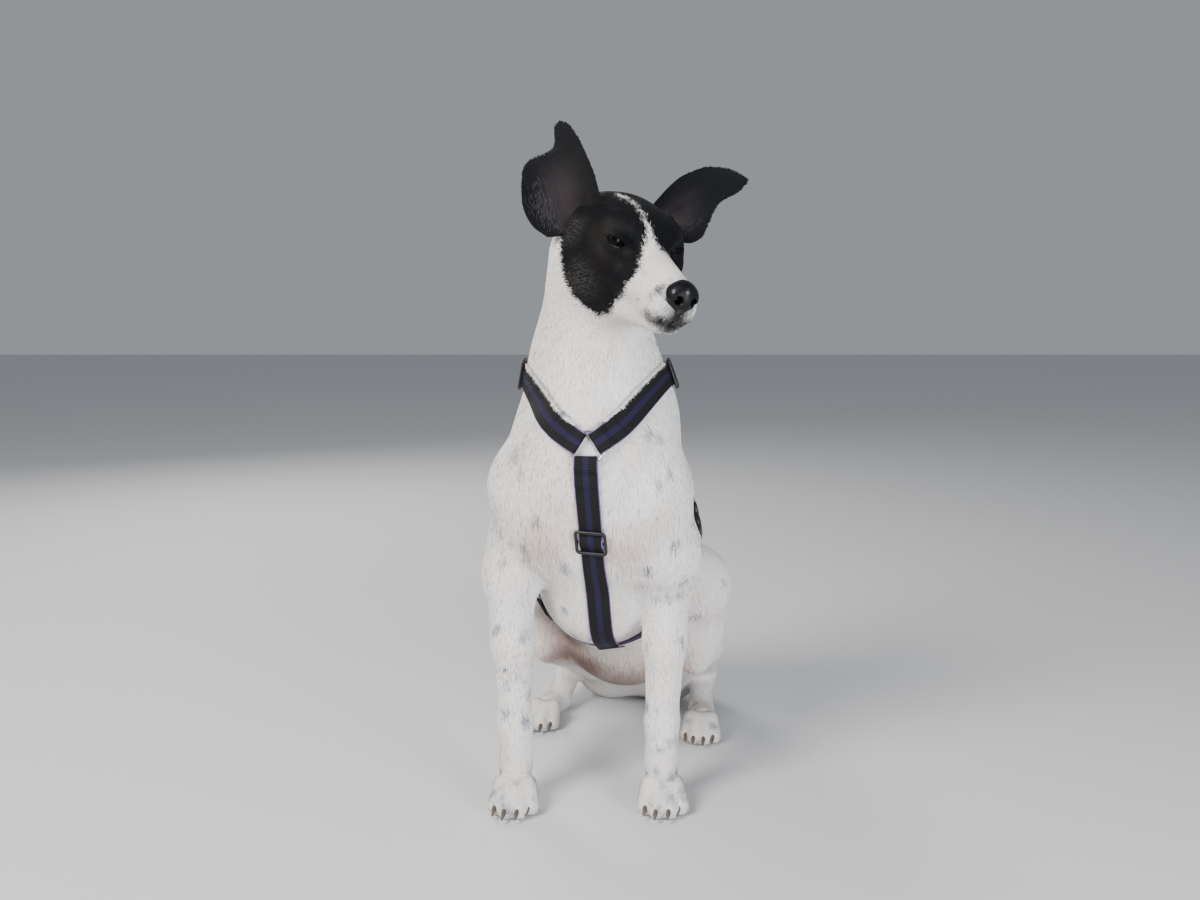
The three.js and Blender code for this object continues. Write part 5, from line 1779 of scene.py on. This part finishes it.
def webbing_profile(corners=15):
    """The section of the webbing, from edge to edge: flat above and below, with round edges."""
    x = np.linspace(-1, 1, corners)
    x = np.sign(x) * (1 - (1 - np.abs(x)) ** 1.4) * WEBBING_HALF_WIDTH
    z = WEBBING_HALF_THICKNESS * (1 - (np.abs(x) / WEBBING_HALF_WIDTH) ** 14) ** 0.5 + 0.02
    return np.vstack([np.column_stack([x, z]), np.column_stack([x[::-1], -z[::-1]])])


def length_along(path):
    """How far each point of a line is from its start."""
    return np.concatenate([[0], np.cumsum(np.linalg.norm(np.diff(path, axis=0), axis=1))])


def band(name, place, first, last, start=None, end=None, humps=(), narrow=(1, 1), on_top=0):
    """One band of webbing between two turns, with its ends at rings if a chord is given.

    `humps` are turns where it climbs over a slider's middle bar. `narrow` is
    how wide it stays where it goes through the ring at each end, and `on_top`
    how much higher its last end lies, on the band that it is sewn to."""
    middle = (first + last) / 2
    way = np.sign(last - first)
    ends = []
    for turn, chord, sign in ((first, start, way), (last, end, -way)):
        if chord is None:
            ends.append(np.array([[turn, ON_COAT]]))
            continue
        table = ring_end(chord)
        rate = pace(place, turn + sign * 8)
        ends.append(np.column_stack([turn + sign * table[:, 0] / rate, table[:, 1]]))
    head_end, tail_end = ends[0], ends[1][::-1]
    span = abs(tail_end[0, 0] - head_end[-1, 0]) * pace(place, middle)
    between = np.linspace(head_end[-1, 0], tail_end[0, 0], int(span / 3.2) + 2)[1:-1]
    turns = np.concatenate([head_end[:, 0], between, tail_end[:, 0]])
    lifts = np.concatenate([head_end[:, 1], ON_COAT + 0 * between, tail_end[:, 1]])
    point, _, across, normal = on_coat(place, turns)
    rate = pace(place, middle)
    lifts = lifts + on_top * ramp(-np.abs(turns - last) * pace(place, last), -44, -32)
    for hump in humps:
        away = np.abs(turns - hump) * rate
        lifts = lifts + np.where(away < 12, HUMP * (1 - ramp(away, 1.5, 8.2)), 0)
    across = across * way
    path = point + lifts[:, None] * normal
    tangent = np.gradient(path, axis=0)
    up = unit(np.cross(tangent, across))
    width = np.ones(len(turns))
    for turn, share, chord in ((first, narrow[0], start), (last, narrow[1], end)):
        if chord is not None:
            away = np.abs(turns - turn) * pace(place, turn)
            width = np.minimum(width, share + (1 - share) * ramp(away, chord + 2, chord + 24))
    profile = np.tile(webbing_profile(), (len(turns), 1, 1))
    profile[..., 0] *= width[:, None]
    flat = (lifts < ON_COAT + 0.3) & ((up * normal).sum(axis=1) > 0.9)
    edges = path[:, None] + profile[..., :1] * across[:, None]
    float_by = in_cells(dog_distance, edges.reshape(-1, 3)).reshape(edges.shape[:2]) - lifts[:, None]
    ease = np.convolve(flat.astype(float), np.ones(7) / 7, mode="same")[:, None]
    profile[..., 1] -= 0.75 * ease * np.clip(float_by, -0.6, 4)
    points, faces = sweep(path, across, up, profile)
    length = length_along(path)
    u = profile[..., 0] / (2 * WEBBING_HALF_WIDTH * width[:, None]) + 0.5
    v = np.broadcast_to(length[:, None] / RIB, u.shape)
    weave = np.column_stack([u.ravel(), v.ravel()])
    weave = np.vstack([weave, [[0.5, weave[0, 1]], [0.5, weave[-1, 1]]]])
    new_piece(name, points, faces, WEBBING, "webbing", [name], uv=("Weave", weave))
    return dict(path=path, across=across, up=up, turns=turns, place=place)


# %% [markdown]
# ### The weave
#
# Ribbed webbing is woven with a thick weft, which shows as ribs across it. At
# 1.6 mm a rib they are too many to model, so they are waves in the material,
# laid out by a map that runs along the band and across it. The same waves paint
# shade into the colour in the gaps and a painted highlight on the ribs' tops.

# %% Webbing material, and the five bands
def webbing_material():
    """Ribbed nylon ribbon: near-black, a purple stripe along the middle and thin lilac edges.

    Across the ribbon runs a rib every 1.6 mm; in each rib the yarns lie slanted.
    The colour is painted darker in the gaps between the ribs and lighter on their
    tops, as painted shade and painted highlight."""
    material, tree = new_material("ribbed_nylon_webbing")
    uv = add(tree, "UVMap", uv_map="Weave")[0]
    split = add(tree, "SeparateXYZ", {"Vector": uv})
    sockets = {"u": split["X"], "v": split["Y"]}
    for name, operation, *values in (
        ("rib turn", "MULTIPLY", "v", 2 * np.pi), ("rib wave", "SINE", "rib turn"),
        ("slant u", "MULTIPLY", "u", 32.0), ("slant v", "MULTIPLY", "v", 0.5),
        ("slant", "ADD", "slant u", "slant v"),
        ("yarn turn", "MULTIPLY", "slant", 2 * np.pi), ("yarn wave", "SINE", "yarn turn"),
        ("from middle", "SUBTRACT", "u", 0.5), ("off", "ABSOLUTE", "from middle"),
        ("stripe", "LESS_THAN", "off", 0.12), ("edge", "GREATER_THAN", "off", 0.462),
    ):
        values = {n: sockets.get(value, value) for n, value in enumerate(values)}
        sockets[name] = add(tree, "Math", values, operation=operation)[0]
    rib = {"Value": sockets["rib wave"], "From Min": -1.0, "From Max": 0.9}
    rib = add(tree, "MapRange", rib)[0]
    yarn = add(tree, "MapRange", {"Value": sockets["yarn wave"], "From Min": -1.0})[0]
    yarn = add(tree, "Math", {0: yarn, 1: 0.45}, operation="MULTIPLY")[0]
    height = add(tree, "Math", {0: rib, 1: yarn}, operation="ADD")[0]
    bump = add(tree, "Bump", {"Height": height, "Strength": 0.8, "Distance": 0.35 * MM})[0]
    colour = rgba("050508")
    for place, hex_colour in (("stripe", "1b1238"), ("edge", "8562a0")):
        colour = {"Factor": sockets[place], "A": colour, "B": rgba(hex_colour)}
        colour = add(tree, "Mix", colour, data_type="RGBA")["Result"]
    # painted shade in the gaps between the ribs and a painted highlight on their tops
    painted_shading = {"Value": height, "From Max": 1.3, "To Min": 0.4, "To Max": 1.15}
    painted_shading = add(tree, "MapRange", painted_shading)[0]
    shaded = add(tree, "VectorMath", {"Vector": colour, "Scale": painted_shading}, operation="SCALE")[0]
    finish_material(tree, Base_Color=shaded, Normal=bump, Roughness=0.7, Specular_IOR_Level=0.3)
    return material


WEBBING = webbing_material()
SLIDER_TURNS = {"collar_left": 98.1, "collar_right": 88.3, "chest": 2.4, "girth": 315.0}
BUCKLE_TURN = 112.5
left_place, right_place = partial(collar_place, 1), partial(collar_place, -1)
front_ring = on_coat(left_place, 0)
withers_ring = on_coat(left_place, WITHERS_TURN)


def turn_at(place, target, turns):
    """The turn at which a band's line passes nearest to a point."""
    points = on_coat(place, turns)[0]
    return turns[np.argmin(np.linalg.norm(points - target, axis=1))]


chest_start = turn_at(chest_place, front_ring[0][0], np.linspace(-60, -10, 201))
back_start = turn_at(back_place, withers_ring[0][0], np.linspace(40, 90, 201))
FRONT_CHORD, WITHERS_CHORD = 10.9, 13.8  # from a ring's middle to the folds of its bands
ON_GIRTH = 2.4  # how much higher a band's end lies on the girth
AT_FRONT, AT_WITHERS, WHOLE = 0.96, 0.68, 1  # how wide the webbing stays where it passes a ring
bands = {
    "collar_left": band("collar_left", left_place, 0, WITHERS_TURN, FRONT_CHORD, WITHERS_CHORD,
                        [SLIDER_TURNS["collar_left"]], (AT_FRONT, AT_WITHERS)),
    "collar_right": band("collar_right", right_place, 0, 360 - WITHERS_TURN, FRONT_CHORD, WITHERS_CHORD,
                         [SLIDER_TURNS["collar_right"]], (AT_FRONT, AT_WITHERS)),
    "chest": band("chest_band", chest_place, chest_start, 84, FRONT_CHORD, None,
                  [SLIDER_TURNS["chest"]], (AT_FRONT, WHOLE), ON_GIRTH),
    "back": band("back_band", back_place, back_start, 16, WITHERS_CHORD, None,
                 (), (AT_WITHERS, WHOLE), ON_GIRTH),
    "girth": band("girth_band", girth_place, BUCKLE_TURN + 5, BUCKLE_TURN + 355, None, None,
                  [SLIDER_TURNS["girth"]]),
}
print("chest band starts at", round(chest_start, 1), "and back band at", round(back_start, 1))

# %% [markdown]
# ### Hair over the straps
#
# Hair that grows just above a strap falls over its edge; without it the
# webbing seems to float. Each tuft starts in the skin, bends at the strap's
# upper edge and lies on the webbing.

# %% Hair over the collar straps
CLEAR_OF_RING, CLEAR_OF_SLIDER = 46, 19  # along the strap, in millimetres


def hair_over(name, count=1100):
    """Tufts rooted just above a strap, bent over its upper edge and lying on the webbing."""
    strap = bands[name]
    path = strap["path"]
    length = length_along(path)
    slider = length[np.argmin(np.abs(strap["turns"] - SLIDER_TURNS[name]))]
    at = rng.uniform(CLEAR_OF_RING, length[-1] - CLEAR_OF_RING, count)
    at = at[np.abs(at - slider) > CLEAR_OF_SLIDER]
    take = lambda rows: np.column_stack([np.interp(at, length, row) for row in rows.T])
    line, across, up = take(path), unit(take(strap["across"])), unit(take(strap["up"]))
    to_head = across * np.sign(across[:, 2:])
    draw = lambda low, high: rng.uniform(low, high, (len(at), 1))
    roots = line + to_head * (WEBBING_HALF_WIDTH + draw(2.0, 5.0))
    roots = roots - (in_cells(skin_distance, roots)[:, None] + 0.2) * up
    middles = line + to_head * (WEBBING_HALF_WIDTH + draw(0, 1.2))
    middles = middles + up * (WEBBING_HALF_THICKNESS + draw(-0.4, 0.1))
    reach = draw(-1.0, 1.7) + 0.8 * np.sin(at / 4.1)[:, None] * draw(0, 1)
    tips = line + to_head * (WEBBING_HALF_WIDTH - reach) + up * (WEBBING_HALF_THICKNESS + draw(0.1, 0.4))
    tips = tips + 2.5 * lay(roots, up) * draw(0.2, 1) + rng.normal(0, 0.3, tips.shape)
    places = np.column_stack([0.02 + 0.96 * at / length[-1], 0.02 + 0.96 * rng.random(len(at))])
    new_coat(f"coat_over_{name}", roots, middles, tips, up, rng.uniform(0.6, 1.0, len(at)),
             coat_colour(roots), places)


for name in ("collar_left", "collar_right"):
    hair_over(name)

# %% [markdown]
# ### Rings, sliders and the buckle
#
# The rings are bent steel wire, welded and plated. The sliders and the buckle
# are injection-moulded plastic, so every edge is round and every wall about
# as thick as the next. The webbing goes in under a slider's first bar, over
# its middle bar, and out under the last.

# %% Steel and plastic
WORN_PATCH, TOOL_GRAIN = 2.5, 0.4  # scales of the two finishes, in millimetres


def steel_material():
    """Nickel-plated wire: a mirror a little blurred by handling."""
    material, tree = new_material("plated_steel_wire")
    place = add(tree, "TexCoord")["Object"]
    worn = add(tree, "TexNoise", {"Vector": place, "Scale": 1 / (WORN_PATCH * MM)})[0]
    rough = add(tree, "MapRange", {"Value": worn, "To Min": 0.12, "To Max": 0.3})[0]
    finish_material(tree, Base_Color=rgba("c9c9cc"), Metallic=1.0, Roughness=rough)
    return material


def plastic_material():
    """Moulded acetal: black, satin, with the fine grain of the tool."""
    material, tree = new_material("moulded_black_plastic")
    place = add(tree, "TexCoord")["Object"]
    grain = add(tree, "TexNoise", {"Vector": place, "Scale": 1 / (TOOL_GRAIN * MM)})[0]
    bump = add(tree, "Bump", {"Height": grain, "Strength": 0.15, "Distance": 0.05 * MM})[0]
    finish_material(tree, Base_Color=rgba("131316"), Normal=bump, Roughness=0.36)
    return material


STEEL, PLASTIC = steel_material(), plastic_material()

# %% Shapes of the fittings
def ring_piece(name, place):
    point, _, across, normal = (v[0] for v in place)
    turn = around(96)
    radial = np.column_stack([np.cos(turn), np.sin(turn)]) @ np.array([across, np.cross(normal, across)])
    path = point + (0.5 + WIRE_RADIUS) * normal + RING_RADIUS * radial
    weld = 1 + 0.10 * np.exp(-(((turn - 0.8) / 0.06) ** 2))
    profile = circle(WIRE_RADIUS, 20) * weld[:, None, None]
    new_piece(name, *sweep(path, radial, normal, profile, closed=True), STEEL, "ring_steel", [name])


def rounded_loop(width, height, radius, corner=9):
    """A rectangle with round corners, as a closed line of points with outward directions."""
    turn = np.radians(np.add.outer([0, 90, 180, 270], np.linspace(0, 90, corner)).ravel())
    ways = np.column_stack([np.cos(turn), np.sin(turn), 0 * turn])
    centres = np.repeat([[1, 1, 0], [-1, 1, 0], [-1, -1, 0], [1, -1, 0]], corner, axis=0)
    return centres * [width / 2 - radius, height / 2 - radius, 0] + radius * ways, ways


def soft_square(half_width, half_height, corners=16, power=4):
    """A section between an ellipse and a rectangle: |x/a|^4 + |z/b|^4 = 1."""
    turn = around(corners)
    c, s = np.cos(turn), np.sin(turn)
    reach = (np.abs(c) ** power + np.abs(s) ** power) ** (-1 / power)
    return np.column_stack([half_width * reach * s, half_height * reach * c])


def straight_bar(start, end, half_width, half_height):
    path = start + np.linspace(0, 1, 9)[:, None] * (np.array(end, float) - start)
    way = unit(np.array(end, float) - start)
    return sweep(path, np.cross(UP, way), UP, soft_square(half_width, half_height))


def slider_parts():
    """A frame 34 by 28 mm with a middle bar, in its own x, y, z."""
    loop, ways = rounded_loop(34 - 3.2, 28 - 3.4, 3.2)
    frame_part = sweep(loop, ways, UP, soft_square(1.6, 1.5), closed=True)
    middle = straight_bar([-14.5, 0, -0.9], [14.5, 0, -0.9], 1.6, 1.1)
    return [frame_part, middle]


def box_loft(sections):
    """A body through soft rectangles given as [y, half width, half height, middle x, middle z]."""
    table = np.array(sections, float)
    rows = np.arange(len(table))
    y = np.interp(np.linspace(0, rows[-1], 8 * len(table)), rows, table[:, 0])
    share = np.interp(y, table[:, 0], rows)
    wide, high, x, z = (through(np.column_stack([rows, column]), share) for column in table.T[1:])
    path = np.column_stack([x, y, z])
    profile = soft_square(1, 1, 24, 5) * np.stack([wide, high], axis=-1)[:, None]
    return sweep(path, SIDE, UP, profile)


def buckle_parts():
    """Housing, plug and its two sprung arms, and the bars that hold the webbing."""
    housing = box_loft([[0.5, 12.6, 3.0, 0, 0], [2, 13.6, 3.6, 0, 0], [9, 14.2, 3.8, 0, 0.1],
                        [15.5, 15.4, 3.4, 0, 0], [17, 15, 2.6, 0, 0]])
    plug = box_loft([[-17, 14.6, 2.3, 0, 0], [-15.5, 15.4, 3.0, 0, 0], [-9, 15.4, 3.4, 0, 0],
                     [-3, 13.4, 3.2, 0, 0], [-1.2, 12.6, 2.6, 0, 0]])
    arms = [box_loft([[-4, 1.6, 2.0, s * 12, 0], [2, 1.9, 2.5, s * 14.6, 0],
                      [8, 1.8, 2.6, s * 14.9, 0], [11.5, 1.3, 2.2, s * 13.6, 0]]) for s in (1, -1)]
    bars = [straight_bar([-15, y, -0.6], [15, y, -0.6], 1.7, 1.5) for y in (-20.4, 20.4)]
    ears = [straight_bar([s * 14.4, y, -0.3], [s * 14.4, y + w, -0.3], 1.6, 1.8)
            for s in (1, -1) for y, w in ((-21, 6.0), (15.0, 6.0))]
    tongue = box_loft([[-2, 4.2, 1.2, 0, 2.4], [4, 4.4, 1.2, 0, 2.9], [9, 3.6, 0.9, 0, 2.9]])
    return [housing, plug, *arms, *bars, *ears, tongue]


# %% The fittings in their places
SLIDER_HEIGHT, BUCKLE_HEIGHT = 4.0, 5.0  # of their middles above the coat


def stand(name, parts, place, turn, height):
    """Puts a plastic piece on its band: its x runs across the band, y along it, z out from the coat."""
    point, along, across, normal = (v[0] for v in on_coat(place, turn))
    axes = np.array([across, along, normal])
    parts = [outward(point + height * normal + p @ axes, f) for p, f in parts]
    new_piece(name, *merged(parts), PLASTIC, "black_plastic", [name])


ring_piece("ring_front", front_ring)
ring_piece("ring_withers", withers_ring)
for key, turn in SLIDER_TURNS.items():
    stand(f"slider_{key}", slider_parts(), bands[key]["place"], turn, SLIDER_HEIGHT)
stand("buckle_girth", buckle_parts(), girth_place, BUCKLE_TURN, BUCKLE_HEIGHT)

# %% [markdown]
# ## Floor
#
# A matt, pale floor catches the dog's shadow. It is the stage, and no part of
# the dog.

# %% Floor, and the end
floor_material, tree = new_material("pale_studio_floor")
finish_material(tree, Base_Color=rgba("cfd0d2"), Roughness=0.8)
FLOOR_REACH = 12000.0
floor_points = FLOOR_REACH * np.array([[-1, -1, 0], [1, -1, 0], [1, 1, 0], [-1, 1, 0]])
mesh, _ = mesh_of("floor", floor_points, [np.array([[0, 1, 2, 3]])])
mesh.materials.append(floor_material)
floor = bpy.data.objects.new("floor", mesh)
bpy.context.scene.collection.objects.link(floor)
